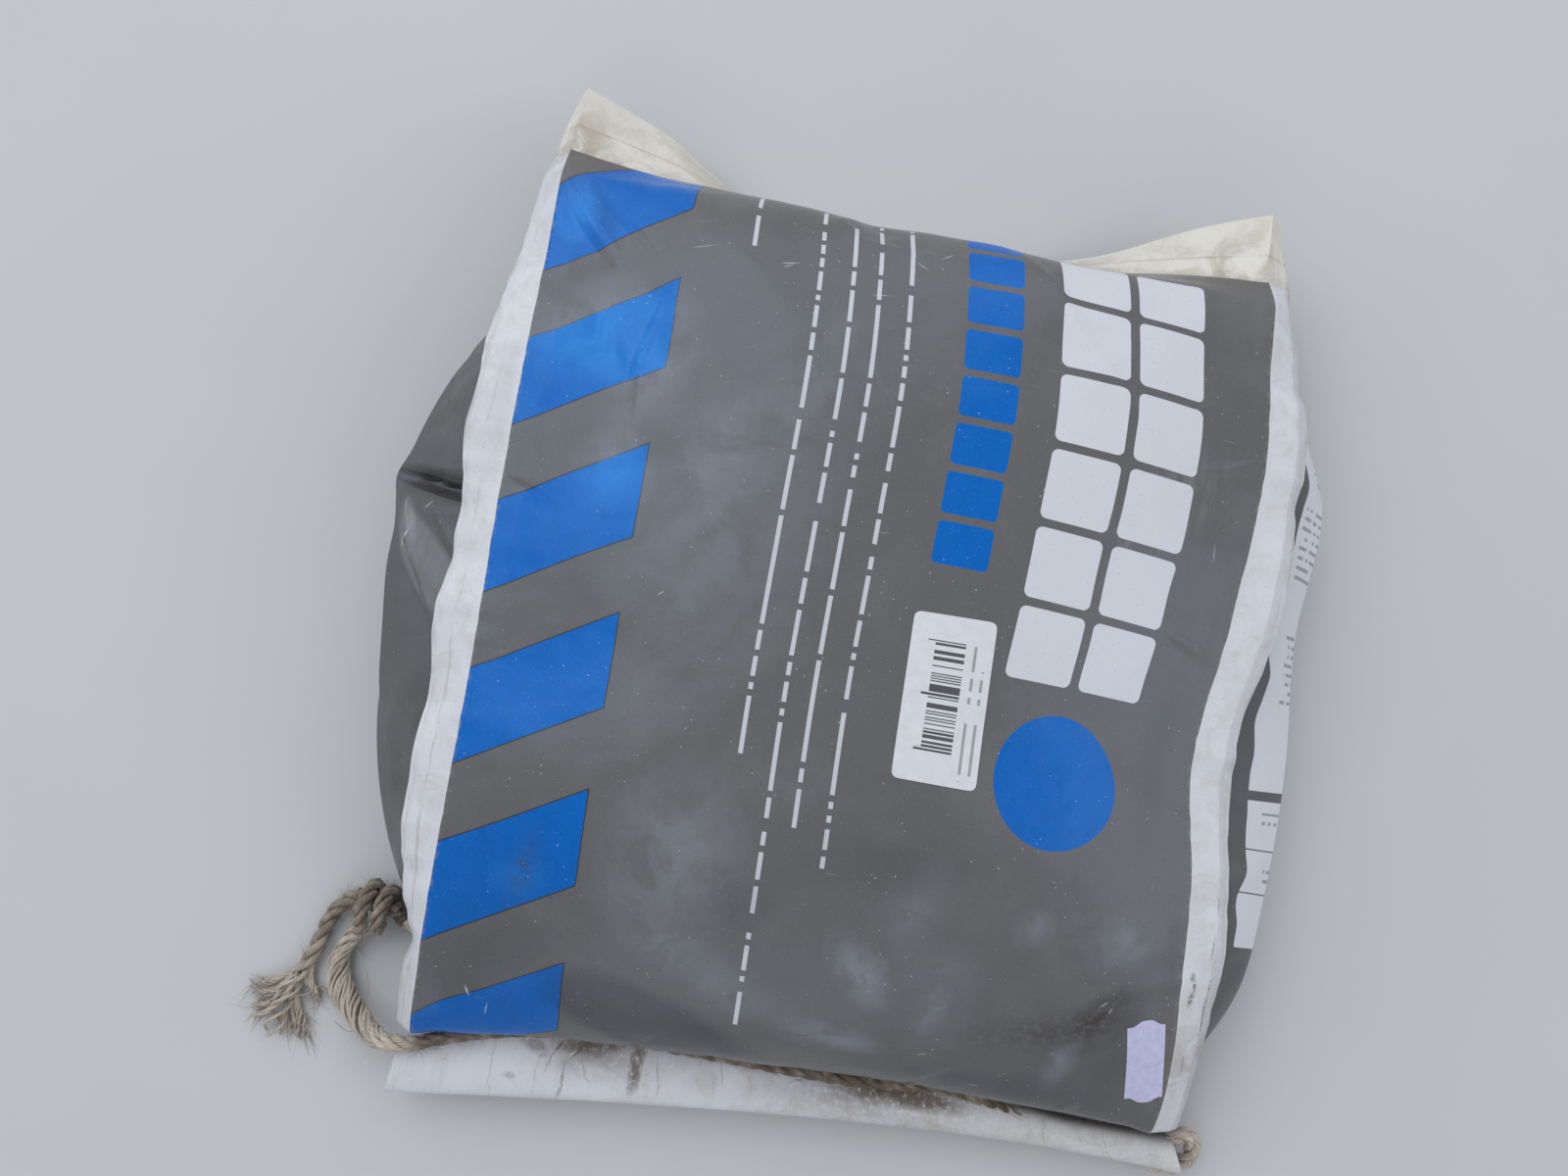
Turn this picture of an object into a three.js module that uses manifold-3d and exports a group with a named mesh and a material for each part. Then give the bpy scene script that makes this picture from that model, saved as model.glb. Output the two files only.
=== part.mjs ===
// A 5 kg bag of powdered grout lying on its back: a side-gusset sack of plastic film whose four long
// edges are welded into fins, a flat sealed margin at one end, a folded hem at the other, and a twisted
// fibre rope that runs in the crease of the hem and is knotted beside the sack.
// Millimetres, +Z up. The sack's tube axis is Y, with the hem at -Y and the sealed margin at +Y. The
// origin is under the middle of the sack, on the surface that it lies on.

import * as THREE from 'three';
import { mergeVertices } from 'three/addons/utils/BufferGeometryUtils.js';
import Module from 'manifold-3d';

// Driving dimensions of the film sack
const FIN_WIDTH = 13;
const FIN_THICK = 1.2;
const MARGIN_WIDTH = 25.5;
const MARGIN_THICK = 1.4;
const MARGIN_DROP = 56; // degrees below level at the middle of the end
const MARGIN_LIFT = 44; // how much of that drop its two ends lose
const MARGIN_LIFT_POWER = 2.4; // the higher, the closer to its ends the margin rises
const HEM_WIDTH = 22;
const HEM_THICK = 5;
const HEM_SLOPE = 24; // degrees below level
const HEM_PAST_SIDE = 6; // how far the hem's ends stand past the body's corners
const PANEL_ARCH = 2.3; // the power of a panel's crown, flatter on top than a parabola
const BOW_HEM = 2.4; // the power by which a panel's end bows between its corners, at the hem
const BOW_MARGIN = 1.1; // and at the margin
const FACET_BULGE = 2.5; // how far a gusset half stands out between its two edges
const FACET_FULL = 30; // a half that is narrower than this stands out less

// The rope and the stickers
const ROPE_DIAMETER = 5.5;
const KNOT_CENTRE = [-141, -112.5, 8.3];
const KNOT_TURN_RADIUS = 5.2;
const KNOT_LEANS = [[1.3, 0.2, 0], [0.35, 1.0, 0.6], [-0.5, -0.7, 1.2]]; // of its turns, in radians
const BARCODE_LABEL = { width: 25, length: 50, corner: 1.6, x: 30.2, y: -17, turn: 0 };
const PRICE_LABEL = { width: 11.5, length: 24, wave: 0.9, x: 109.6, y: -117.5, turn: 0.14 };
const LABEL_LIFT = 0.4;
const LABEL_THICK = 0.4;

// Eleven places along the sack, from the crease of the hem to the seam of the margin. Each rail gives
// one line of the filled sack at those places, as [x, y, z].
const FRONT_LEFT = [
  [-119, -147.5, 23], [-119, -140, 31], [-117, -124, 39], [-117, -100, 44], [-116, -66, 48],
  [-115, -22, 50], [-115, 28, 51], [-114.5, 78, 50], [-114, 113, 47], [-113, 136, 44], [-112, 145, 41],
];
const FRONT_MIDDLE = [
  [0, -136, 23], [0, -139, 31], [0, -130, 44], [0, -108, 56], [0, -68, 66],
  [0, -22, 70], [2, 28, 71], [4, 78, 67.5], [4, 112, 60], [5, 131, 46], [5, 135, 26],
];
const FRONT_RIGHT = [
  [121, -141.5, 22], [120, -135, 29], [119, -119, 37], [118, -95, 42], [117, -62, 46],
  [113, -25, 47], [120, 20, 48], [126, 72, 48], [125, 108, 46], [123.5, 128, 43], [121, 136, 39],
];
const GUSSET_LEFT = [
  [-114, -145.5, 21.5], [-108, -137, 22], [-114, -121, 25], [-131, -100, 26], [-144, -68, 27],
  [-151.5, -22, 27], [-154, 30, 28], [-138, 78, 28], [-111, 112, 27], [-101, 132, 28], [-109, 144.6, 38.5],
];
const GUSSET_RIGHT = [
  [116, -140, 20.5], [111, -133, 20], [124, -117, 24], [140, -96, 26], [147.5, -64, 27],
  [151, -24, 27], [150, 20, 27], [154, 68, 28], [136, 104, 28], [108, 126, 28], [118, 135.6, 36.5],
];
const BACK_LEFT = [
  [-118, -146.5, 20], [-118, -138, 15.5], [-116, -122, 9.5], [-115, -100, 3], [-115, -66, 0.6],
  [-115, -22, 0.6], [-115, 28, 0.6], [-115, 78, 0.6], [-113, 110, 2], [-112, 133, 14], [-111, 144, 36],
];
const BACK_MIDDLE = [
  [0, -135, 19], [0, -133, 12], [0, -121, 4], [0, -98, 0], [0, -66, 0],
  [0, -22, 0], [2, 28, 0], [4, 78, 0], [4, 108, 0], [5, 128, 6], [5, 134, 23],
];
const BACK_RIGHT = [
  [120, -140.5, 19], [119, -133, 14], [118, -117, 8], [117, -95, 2], [117, -62, 0.6],
  [114, -25, 0.6], [118, 20, 0.6], [122, 72, 0.6], [121, 105, 2], [121, 126, 14], [120, 135, 34],
];
// How far each fin leans from level at those places, in degrees, negative where it droops
const LEAN_FRONT_LEFT = [-58, -60, -66, -38, -10, 0, 2, 0, -50, -66, -69];
const LEAN_FRONT_RIGHT = [-52, -42, -32, -15, -5, 0, 0, 0, -32, -62, -69];
const LEAN_BACK = [-56, -28, -6, 0, 0, 0, 0, 0, 0, -48, -69];

// The rope's route: from the knot, out over the floor, up into the crease, along it to the far corner,
// round the end of the hem and back under it to the knot
const ROPE_ROUTE = [
  [-146, -119.6, 6.2], [-150.5, -124.5, 4.4], [-153.5, -131, 3.4], [-152.5, -138.5, 4], [-147.5, -144.5, 6.5],
  [-140, -149, 12.5], [-131.5, -152, 20], [-121, -152.8, 26], [-108, -149, 26.6], [-85, -144.5, 27.5],
  [-55, -143, 28.5], [-20, -142.5, 29], [20, -142, 29], [55, -142.5, 28.5], [90, -144, 26.8],
  [112, -146, 25.2], [124, -148.8, 24.4], [133.5, -151, 20], [139.5, -154, 13.5], [138.5, -157.5, 7],
  [132, -158, 3.2], [118, -156, 3.1], [85, -152, 3.1], [40, -150, 3.1], [-10, -150, 3.1],
  [-60, -150, 3.1], [-98, -149.5, 3.1], [-117, -144, 3.1], [-126, -133, 3.1], [-130, -123, 3.4],
  [-133.2, -116.3, 5.2],
];
const TAIL_ROUTE = [
  [-149.6, -109.6, 5.6], [-154, -113, 3.8], [-157.5, -119, 3.2], [-159, -126, 3.1], [-161, -133, 3.1],
  [-164.5, -139.5, 3.1], [-168, -146, 2.9], [-170.5, -153, 2.2], [-172, -160, 1.6],
];
const FRAY_FROM = 0.62; // the share of the tail's length where its fibres begin to spread
const FRAY_WIDTH = 13;
const FRAY_THICK = 2.4;
const TAIL_STEPS = 14;
const ROPE_STEPS = 78;

const SACK_CENTRE = [-0.15, 1.1, 0]; // the middle of the sack, in the places given above
const SACK_STEPS = 26;
const PANEL_STEPS = 12;
const SPANS = Array.from({ length: PANEL_STEPS + 1 }, (_, i) => (2 * i) / PANEL_STEPS - 1);
const STICKER_FROM = 25; // the stickers are cut from the sack's top, between this height and one above it
const STICKER_REACH = 60;

const LAST = FRONT_LEFT.length - 1;
const vec = (p) => new THREE.Vector3(...p);
const rail = (points) => new THREE.CatmullRomCurve3(points.map(vec), false, 'centripetal');
const rails = {
  frontLeft: rail(FRONT_LEFT),
  frontMiddle: rail(FRONT_MIDDLE),
  frontRight: rail(FRONT_RIGHT),
  gussetLeft: rail(GUSSET_LEFT),
  gussetRight: rail(GUSSET_RIGHT),
  backLeft: rail(BACK_LEFT),
  backMiddle: rail(BACK_MIDDLE),
  backRight: rail(BACK_RIGHT),
};

function aboveFloor(point, least) {
  point.z = Math.max(point.z, least);
  return point;
}

// A value given at the eleven places, read in between along a smooth curve
function along(values, t) {
  const at = Math.min(Math.floor(t * LAST), LAST - 1);
  const part = THREE.MathUtils.smoothstep(t * LAST - at, 0, 1);
  return THREE.MathUtils.lerp(values[at], values[at + 1], part);
}

// A point of a crowned panel: its middle rail at across = 0 and its edge rails at -1 and 1
function panelPoint(left, middle, right, t, across) {
  const edge = (across < 0 ? left : right).getPoint(t);
  const centre = middle.getPoint(t);
  const side = Math.abs(across);
  const bow = THREE.MathUtils.lerp(BOW_HEM, BOW_MARGIN, t);
  return new THREE.Vector3(
    THREE.MathUtils.lerp(centre.x, edge.x, side),
    THREE.MathUtils.lerp(centre.y, edge.y, side ** bow),
    THREE.MathUtils.lerp(centre.z, edge.z, side ** PANEL_ARCH),
  );
}
const frontPoint = (t, across) =>
  panelPoint(rails.frontLeft, rails.frontMiddle, rails.frontRight, t, across);
const backPoint = (t, across) =>
  aboveFloor(panelPoint(rails.backLeft, rails.backMiddle, rails.backRight, t, across), 0);

// One half of a gusset, from one edge to the other, standing out a little in between
function gussetHalf(from, to, outward) {
  return [1 / 3, 2 / 3].map((part) => {
    const point = from.clone().lerp(to, part);
    const share = Math.min(1, from.distanceTo(to) / FACET_FULL);
    point.x += outward * FACET_BULGE * share * Math.sin(Math.PI * part);
    return point;
  });
}

// A closed body from rings of as many points each, which follow each other towards +Y and turn
// clockwise as seen from -Y. Its two ends are closed by faces that are worked out from X and Z.
function loft(rings) {
  const count = rings[0].length;
  const faces = [];
  for (let row = 0; row + 1 < rings.length; row += 1) {
    for (let i = 0; i < count; i += 1) {
      const a = row * count + i;
      const b = row * count + ((i + 1) % count);
      faces.push(a, b, b + count, a, b + count, a + count);
    }
  }
  const cap = (ring) => THREE.ShapeUtils.triangulateShape(ring.map((p) => new THREE.Vector2(p.x, p.z)), []);
  const lastRow = (rings.length - 1) * count;
  cap(rings[0]).forEach(([a, b, c]) => faces.push(a, b, c));
  cap(rings.at(-1)).forEach(([a, b, c]) => faces.push(lastRow + c, lastRow + b, lastRow + a));
  const geometry = new THREE.BufferGeometry();
  const places = rings.flat().flatMap((p) => p.toArray());
  geometry.setAttribute('position', new THREE.Float32BufferAttribute(places, 3));
  geometry.setIndex(faces);
  return geometry;
}

// The free corners of a fin that stands out from an edge: its tip's two corners, and the root's corner
// on the side of the gusset
function finCorners(root, leanDegrees, outward, facesUp) {
  const lean = THREE.MathUtils.degToRad(leanDegrees);
  const out = new THREE.Vector3(outward * Math.cos(lean), 0, Math.sin(lean));
  const tip = aboveFloor(root.clone().addScaledVector(out, FIN_WIDTH), facesUp ? FIN_THICK : 0);
  const inner = new THREE.Vector3(outward * Math.sin(lean), 0, -Math.cos(lean))
    .multiplyScalar(facesUp ? FIN_THICK : -FIN_THICK);
  return [tip, tip.clone().add(inner), root.clone().add(inner)];
}

// One section of the filled sack: the crowned front panel, and on each side a front fin, the two halves
// of the gusset and a back fin, round to the back panel that lies flat
function sackRing(t) {
  const front = SPANS.map((across) => frontPoint(t, across));
  const back = SPANS.map((across) => backPoint(t, across)).reverse();
  const side = (frontRoot, backRoot, middle, leanFront, outward) => {
    const [frontTip, frontTipInner, frontInner] = finCorners(frontRoot, along(leanFront, t), outward, true);
    const [backTip, backTipInner, backInner] = finCorners(backRoot, along(LEAN_BACK, t), outward, false);
    return [
      frontTip, frontTipInner, frontInner, ...gussetHalf(frontInner, middle, outward), middle,
      ...gussetHalf(middle, backInner, outward), backInner, backTipInner, backTip,
    ];
  };
  const right = side(front.at(-1), back[0], rails.gussetRight.getPoint(t), LEAN_FRONT_RIGHT, 1);
  const left = side(front[0], back.at(-1), rails.gussetLeft.getPoint(t), LEAN_FRONT_LEFT, -1);
  return [...front, ...right, ...back, ...left.reverse()];
}

// Where each point of a section lies once the film is pressed flat: how far across, with the fins past
// -1 and 1, and on which face of the strip, from -1 below to 1 on top. The layers of a fin stay apart.
const FLAT_SIDE = [
  [2, 1], [2, 0.12], [1, 0.12], [0.982, 0.1], [0.973, 0.06], [0.97, 0],
  [0.973, -0.06], [0.982, -0.1], [1, -0.12], [2, -0.12], [2, -1],
];
const FLAT_RING = [
  ...SPANS.map((across) => [across, 1]),
  ...FLAT_SIDE,
  ...SPANS.map((across) => [-across, -1]),
  ...FLAT_SIDE.map(([across, face]) => [-across, face]).reverse(),
];

// A strip of flat film past one end of the sack. reach(across) is the vector to it from the sack's end.
function flatRing(t, reach, thick, finShare) {
  return FLAT_RING.map(([across, face]) => {
    const inside = THREE.MathUtils.clamp(across, -1, 1);
    const past = across - inside;
    const lean = along(past < 0 ? LEAN_FRONT_LEFT : LEAN_FRONT_RIGHT, t) * (1 - finShare.level);
    const out = reach(inside);
    const up = new THREE.Vector3(1, 0, 0).cross(out).normalize();
    if (up.z < 0) up.negate();
    const point = frontPoint(t, inside).lerp(backPoint(t, inside), 0.5).add(out);
    point.addScaledVector(up, (face * thick) / 2);
    point.x += past * finShare.width * Math.cos(THREE.MathUtils.degToRad(lean));
    point.z += Math.abs(past) * finShare.width * Math.sin(THREE.MathUtils.degToRad(lean));
    return point;
  });
}

// The sealed margin droops in its middle while its two corners stand out
function marginRing(distance) {
  const reach = (across) => {
    const pitch = THREE.MathUtils.degToRad(MARGIN_LIFT * Math.abs(across) ** MARGIN_LIFT_POWER - MARGIN_DROP);
    return new THREE.Vector3(0, Math.cos(pitch), Math.sin(pitch)).multiplyScalar(distance);
  };
  return flatRing(1, reach, MARGIN_THICK, { width: FIN_WIDTH, level: 0 });
}

// The hem is a soft flattened tunnel of film that slopes down from the crease
function hemRing(share, fullness) {
  const slope = THREE.MathUtils.degToRad(HEM_SLOPE);
  const out = new THREE.Vector3(0, -Math.cos(slope), -Math.sin(slope)).multiplyScalar(share * HEM_WIDTH);
  return flatRing(0, () => out, HEM_THICK * fullness, { width: HEM_PAST_SIDE, level: 1 });
}

function filmSack() {
  return loft([
    hemRing(1, 0.3), hemRing(0.94, 0.75), hemRing(0.75, 1), hemRing(0.3, 0.9),
    ...Array.from({ length: SACK_STEPS + 1 }, (_, step) => sackRing(step / SACK_STEPS)),
    ...[0.16, 0.55, 1].map((share) => marginRing(share * MARGIN_WIDTH)),
  ]);
}

// Solids for joining and cutting
const wasm = await Module();
wasm.setup();

function solid(geometry) {
  const bare = geometry.clone();
  bare.deleteAttribute('normal');
  bare.deleteAttribute('uv');
  const merged = mergeVertices(bare, 1e-4);
  return new wasm.Manifold(new wasm.Mesh({
    numProp: 3,
    vertProperties: new Float32Array(merged.attributes.position.array),
    triVerts: new Uint32Array(merged.index.array),
  }));
}

function geometryOf(manifold) {
  const mesh = manifold.getMesh();
  const geometry = new THREE.BufferGeometry();
  geometry.setAttribute('position', new THREE.BufferAttribute(mesh.vertProperties, 3));
  geometry.setIndex(new THREE.BufferAttribute(mesh.triVerts, 1));
  return geometry;
}

// A tube of the rope's section along a route
function tube(points, radius, sides, steps) {
  const section = new THREE.Shape(
    Array.from({ length: sides }, (_, i) => {
      const angle = (2 * Math.PI * i) / sides;
      return new THREE.Vector2(radius * Math.cos(angle), radius * Math.sin(angle));
    }),
  );
  return new THREE.ExtrudeGeometry(section, { steps, bevelEnabled: false, extrudePath: rail(points) });
}

// The knot: three turns of the rope drawn tight across each other
function knot() {
  return KNOT_LEANS.map((lean) => {
    const turn = new THREE.TorusGeometry(KNOT_TURN_RADIUS, ROPE_DIAMETER / 2, 8, 14);
    turn.applyMatrix4(new THREE.Matrix4().makeRotationFromEuler(new THREE.Euler(...lean)));
    turn.translate(...KNOT_CENTRE);
    return solid(turn);
  }).reduce((whole, turn) => whole.add(turn));
}

// The rope's free tail, whose fibres spread out flat over the last third
function ropeTail() {
  const route = rail(TAIL_ROUTE);
  const level = new THREE.Vector3(0, 0, 1);
  const rings = Array.from({ length: TAIL_STEPS + 1 }, (_, step) => {
    const part = step / TAIL_STEPS;
    const sideways = route.getTangentAt(part).cross(level).normalize();
    const spread = THREE.MathUtils.smoothstep(part, FRAY_FROM, 1);
    const wide = THREE.MathUtils.lerp(ROPE_DIAMETER, FRAY_WIDTH, spread) / 2;
    const high = THREE.MathUtils.lerp(ROPE_DIAMETER, FRAY_THICK, spread) / 2;
    return Array.from({ length: 8 }, (_, i) => {
      const angle = (2 * Math.PI * i) / 8;
      return route.getPointAt(part)
        .addScaledVector(sideways, wide * Math.cos(angle))
        .addScaledVector(level, high * Math.sin(angle));
    });
  });
  return loft(rings.reverse());
}

// A sticker: its outline, as seen from above, cut from a thin layer that follows the top of the sack
function sticker(outline, label, carrier) {
  const deep = { depth: STICKER_REACH, bevelEnabled: false };
  const prism = new THREE.ExtrudeGeometry(new THREE.Shape(outline), deep);
  prism.rotateZ(label.turn);
  prism.translate(label.x, label.y, STICKER_FROM);
  const lifted = (height) => carrier.translate([0, 0, height]);
  return geometryOf(lifted(LABEL_LIFT + LABEL_THICK).subtract(lifted(LABEL_LIFT)).intersect(solid(prism)));
}

function barcodeOutline() {
  const { width, length, corner } = BARCODE_LABEL;
  const points = [];
  [[1, 1], [-1, 1], [-1, -1], [1, -1]].forEach(([sx, sy], quarter) => {
    for (let i = 0; i <= 3; i += 1) {
      const angle = (quarter + i / 3) * (Math.PI / 2);
      points.push(new THREE.Vector2(
        sx * (width / 2 - corner) + corner * Math.cos(angle),
        sy * (length / 2 - corner) + corner * Math.sin(angle),
      ));
    }
  });
  return points;
}

function priceOutline() {
  const { width, length, wave } = PRICE_LABEL;
  const end = Array.from({ length: 9 }, (_, i) => {
    const x = width * (0.5 - i / 8);
    return new THREE.Vector2(x, length / 2 - wave + wave * Math.cos((2 * Math.PI * x) / width));
  });
  return [...end, ...end.map((p) => new THREE.Vector2(-p.x, -p.y))];
}

const film = { roughness: 0.35, metalness: 0 };
const paper = { roughness: 0.6, metalness: 0 };
const fibre = { roughness: 0.95, metalness: 0 };

function piece(name, geometry, colour, finish) {
  geometry.translate(...SACK_CENTRE.map((value) => -value));
  const mesh = new THREE.Mesh(geometry, new THREE.MeshStandardMaterial({ color: colour, ...finish }));
  mesh.name = name;
  return mesh;
}

const sack = solid(filmSack());

const bag = new THREE.Group();
bag.add(piece('film_sack', filmSack(), 0x5c5c60, film));
bag.add(piece('rope_handle', tube(ROPE_ROUTE, ROPE_DIAMETER / 2, 10, ROPE_STEPS), 0xbeb2a0, fibre));
bag.add(piece('rope_knot', geometryOf(knot()), 0xb5a892, fibre));
bag.add(piece('rope_tail', ropeTail(), 0xbeb2a0, fibre));
bag.add(piece('barcode_label', sticker(barcodeOutline(), BARCODE_LABEL, sack), 0xdedee4, paper));
bag.add(piece('price_label', sticker(priceOutline(), PRICE_LABEL, sack), 0xc8c8e8, paper));

export default bag;
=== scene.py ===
"""A 5 kg bag of powdered grout, lying on its back with a knotted rope in its hem.

Lengths in the tables are millimetres, as in the part's source; every mesh is in metres. The sack's tube
axis is Y, with the hem at -Y and the sealed margin at +Y. A place on the film is given by u, how far
across the panel, and v, how far from the hem along it, as on the flat film.
"""

import math

import bpy
import numpy as np
from mathutils import Matrix, Vector
from mathutils.bvhtree import BVHTree


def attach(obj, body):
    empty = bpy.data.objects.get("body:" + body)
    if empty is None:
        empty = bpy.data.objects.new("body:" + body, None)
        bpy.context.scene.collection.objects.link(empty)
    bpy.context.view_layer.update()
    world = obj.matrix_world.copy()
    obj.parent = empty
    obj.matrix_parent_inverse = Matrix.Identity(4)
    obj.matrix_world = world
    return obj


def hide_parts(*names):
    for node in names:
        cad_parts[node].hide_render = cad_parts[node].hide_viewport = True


bl_info = {
    "name": "Bag of grout",
    "version": (1, 0, 0),
    "blender": (4, 5, 0),
    "location": "3D View > Sidebar > Bag",
    "description": "Models a film sack of powdered grout with its rope and stickers",
    "category": "Object",
}

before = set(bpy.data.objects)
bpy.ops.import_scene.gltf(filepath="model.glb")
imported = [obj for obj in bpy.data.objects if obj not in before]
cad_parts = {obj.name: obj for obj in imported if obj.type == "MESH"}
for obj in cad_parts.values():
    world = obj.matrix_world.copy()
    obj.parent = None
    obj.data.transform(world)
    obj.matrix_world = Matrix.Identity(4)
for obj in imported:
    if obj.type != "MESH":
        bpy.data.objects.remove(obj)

MM = 0.001
CENTRE = np.array([-0.15, 1.1, 0.0])  # the middle of the sack, in the places of the tables below

# Lines of the filled sack, each at eleven places from the hem's crease to the margin's seam
FRONT_LEFT = [
    [-119, -144.5, 21.5], [-119, -145.2, 30], [-117.9, -126, 39], [-117.3, -101, 44], [-116, -66, 48],
    [-115, -22, 50], [-115, 28, 51], [-114.5, 78, 50], [-114, 113, 47], [-114.4, 137.4, 44],
    [-113.6, 147.4, 41],
]
FRONT_MIDDLE = [
    [0, -134.5, 22], [0, -139, 31], [0, -130, 44], [0, -108, 56], [0, -68, 66],
    [0, -22, 70], [2, 28, 71], [4, 78, 67.5], [3, 114, 61], [2, 134.5, 47], [3, 138.5, 27],
]
FRONT_RIGHT = [
    [118.6, -142.4, 20], [119.2, -143.6, 27.5], [120, -122, 37], [118.8, -95, 42], [117, -62, 46],
    [113, -25, 47], [120, 20, 48], [126, 72, 48], [125, 108, 46], [125.5, 128.6, 43], [124.3, 137.4, 39],
]
GUSSET_LEFT = [
    [-114, -145.5, 21.5], [-108, -137, 22], [-114, -121, 25], [-131, -100, 26], [-144, -68, 27],
    [-151.5, -22, 27], [-154, 30, 28], [-138, 78, 28], [-111, 112, 27], [-101, 133, 28], [-110.6, 147, 38.5],
]
GUSSET_RIGHT = [
    [116, -143, 20.5], [111, -136, 20], [131, -118, 24], [143.2, -96, 26], [148.3, -64, 27],
    [151, -24, 27], [150, 20, 27], [154, 68, 28], [136, 104, 28], [109, 126, 28], [121.3, 137, 36.5],
]
BACK_LEFT = [
    [-118, -146.5, 20], [-118, -138, 15.5], [-116, -122, 9.5], [-115, -100, 3], [-115, -66, 0.6],
    [-115, -22, 0.6], [-115, 28, 0.6], [-115, 78, 0.6], [-113, 110, 2], [-112, 134, 14], [-112.6, 146.4, 36],
]
BACK_MIDDLE = [
    [0, -135, 19], [0, -133, 12], [0, -121, 4], [0, -98, 0], [0, -66, 0],
    [0, -22, 0], [2, 28, 0], [4, 78, 0], [4, 108, 0], [3, 130, 6], [3, 137.5, 23.5],
]
BACK_RIGHT = [
    [120, -143.5, 19], [119, -136, 14], [118, -118, 8], [117, -95, 2], [117, -62, 0.6],
    [114, -25, 0.6], [118, 20, 0.6], [122, 72, 0.6], [121, 105, 2], [121, 126, 14], [123.3, 136.4, 34],
]
# Each fin's lean from level in degrees: the front ones at places evenly spread along the film, from the hem
LEAN_FRONT_LEFT = [
    -45, -51, -53, -53, -54, -60, -47, -33, -26, -14, -9, -7, -7, -5, -3, -8, -6, -4, -3, 0,
    -8, -17, -12, -13, -3, 8, 13, 10, 12, 8, 7, 0, -10, -19, -27, -36, -42, -46, -47, -47, -47,
]
LEAN_FRONT_RIGHT = [
    -24, -33, -35, -33, -32, -28, -21, -11, -4, -2, -3, -6, -6, -2, 0, -1, -3, -2, 6, 3,
    4, 8, 10, 10, 10, 10, 8, 6, 1, -8, 3, 3, 5, 1, -13, -24, -31, -37, -39, -36, -31,
]
LEAN_BACK = [-44, -28, -6, 0, 0, 0, 0, 0, 0, -38, -42]
# Where a front fin is wider: how far from the hem, over what reach, by how much
WIDER_LEFT, WIDER_RIGHT = (201, 10, 1.0), (184, 26, 1.7)
# The margin's free edge, from its left corner to its right one
MARGIN_EDGE = [
    [-112.7, 172.2, 35], [-99.7, 170.1, 28], [-85.4, 167, 20], [-71.6, 160.5, 12], [-47, 148.5, 4.5],
    [4, 144, 3.5], [49, 146.5, 5], [73, 150.5, 9], [98, 158.5, 19], [111, 161, 27], [124.5, 162.4, 35.5],
]
MARGIN_EDGE_AT = [-1, -0.86, -0.72, -0.6, -0.4, 0, 0.35, 0.53, 0.76, 0.9, 1]
# The hem: its inner edge, which goes into the sack's closed end, and its free edge
HEM_INNER = [
    [-125, -150.5, 19], [-104, -144, 19.5], [-60, -138.5, 20], [-10, -136.5, 20], [50, -139.5, 18],
    [97, -145.2, 15], [130, -146.6, 14.4],
]
HEM_OUTER = [
    [-128, -169.5, 13], [-106, -167, 14], [-62, -162.5, 15], [-8, -158.6, 15], [52, -156, 14.5],
    [99, -156.5, 13], [136, -159, 12],
]
HEM_THICK = [4.8, 6.2, 7.2, 7.6, 8.4, 9.8, 9.4]
HEM_LONG = 260
HEM_GIRTH = 46
HEM_FILM = 0.7  # the thickness shown at its open ends
HEM_OPENING = 7.0  # how deep its open ends go

PANEL_HALF = 118.0
ROWS = 186
PANEL_COLUMNS = 136
GUSSET_COLUMNS = 18
MARGIN_ROWS = 12
MARGIN_WIDTH = 25.5
FIN_WIDTH = 13.0
FIN_THICK = 0.5
GUSSET_HALF = 45.0  # how far a half of a gusset is across, on the flat film
FLOOR_GAP = 0.05  # the least height of the back fins' film over the floor
FIN_SHARES = (0, 0.18, 0.36, 0.53, 0.72, 0.86, 1)  # the columns of a fin, as shares of its width
# Where a fin's lengthwise crease runs, as a share of its width, and the degrees by which the film turns down
CREASE_LEFT, CREASE_RIGHT = (0.53, 7), (0.72, 15)
# The powers by which a panel's section bows: in height, and along the sack at the hem and at the margin
PANEL_ARCH = 2.3
BOW_HEM = 2.4
BOW_MARGIN = 1.1

# The rope's route from its knot, out over the floor, up into the hem's crease and back under the hem
ROPE_ROUTE = [
    [-146, -119.6, 6.2], [-150.5, -124.5, 4.4], [-153.5, -131, 3.4], [-152.5, -138.5, 4],
    [-147.5, -144.5, 6.5], [-140, -149, 12], [-131.5, -151.8, 18.5], [-122, -151, 23], [-112, -147.6, 25],
    [-98, -143.6, 25], [-80, -140.2, 25], [-55, -138.6, 25.2], [-20, -139.6, 25.8], [20, -141, 26],
    [38, -140.4, 25.6], [52, -140, 23.5], [68, -143.4, 19], [84, -147.8, 16], [100, -149.8, 15],
    [118, -150.2, 14.2], [129, -148.6, 14.4], [136, -146.8, 13.2], [139.7, -150.2, 10.4],
    [140.2, -155.2, 6.8], [137.2, -159.4, 3.9], [130, -160.2, 3.2], [118, -156.4, 3.1], [85, -152, 3.1],
    [40, -150, 3.1], [-10, -150, 3.1], [-60, -150, 3.1], [-90, -148.5, 3.1], [-104, -142.5, 3.1],
    [-111.5, -132.5, 3.1], [-116.5, -124, 3.1], [-123, -119.6, 3.1], [-128.6, -118.4, 3.9],
    [-133.2, -116.3, 5.2],
]
TAIL_ROUTE = [
    [-149.6, -109.6, 5.6], [-154.4, -112.6, 3.8], [-158.8, -118, 3.2], [-161, -125, 3.1], [-163, -132, 3.1],
    [-166.2, -138.6, 3.2], [-169, -145.4, 3.4], [-170.9, -152.6, 3.2], [-172, -160, 3],
]
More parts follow.
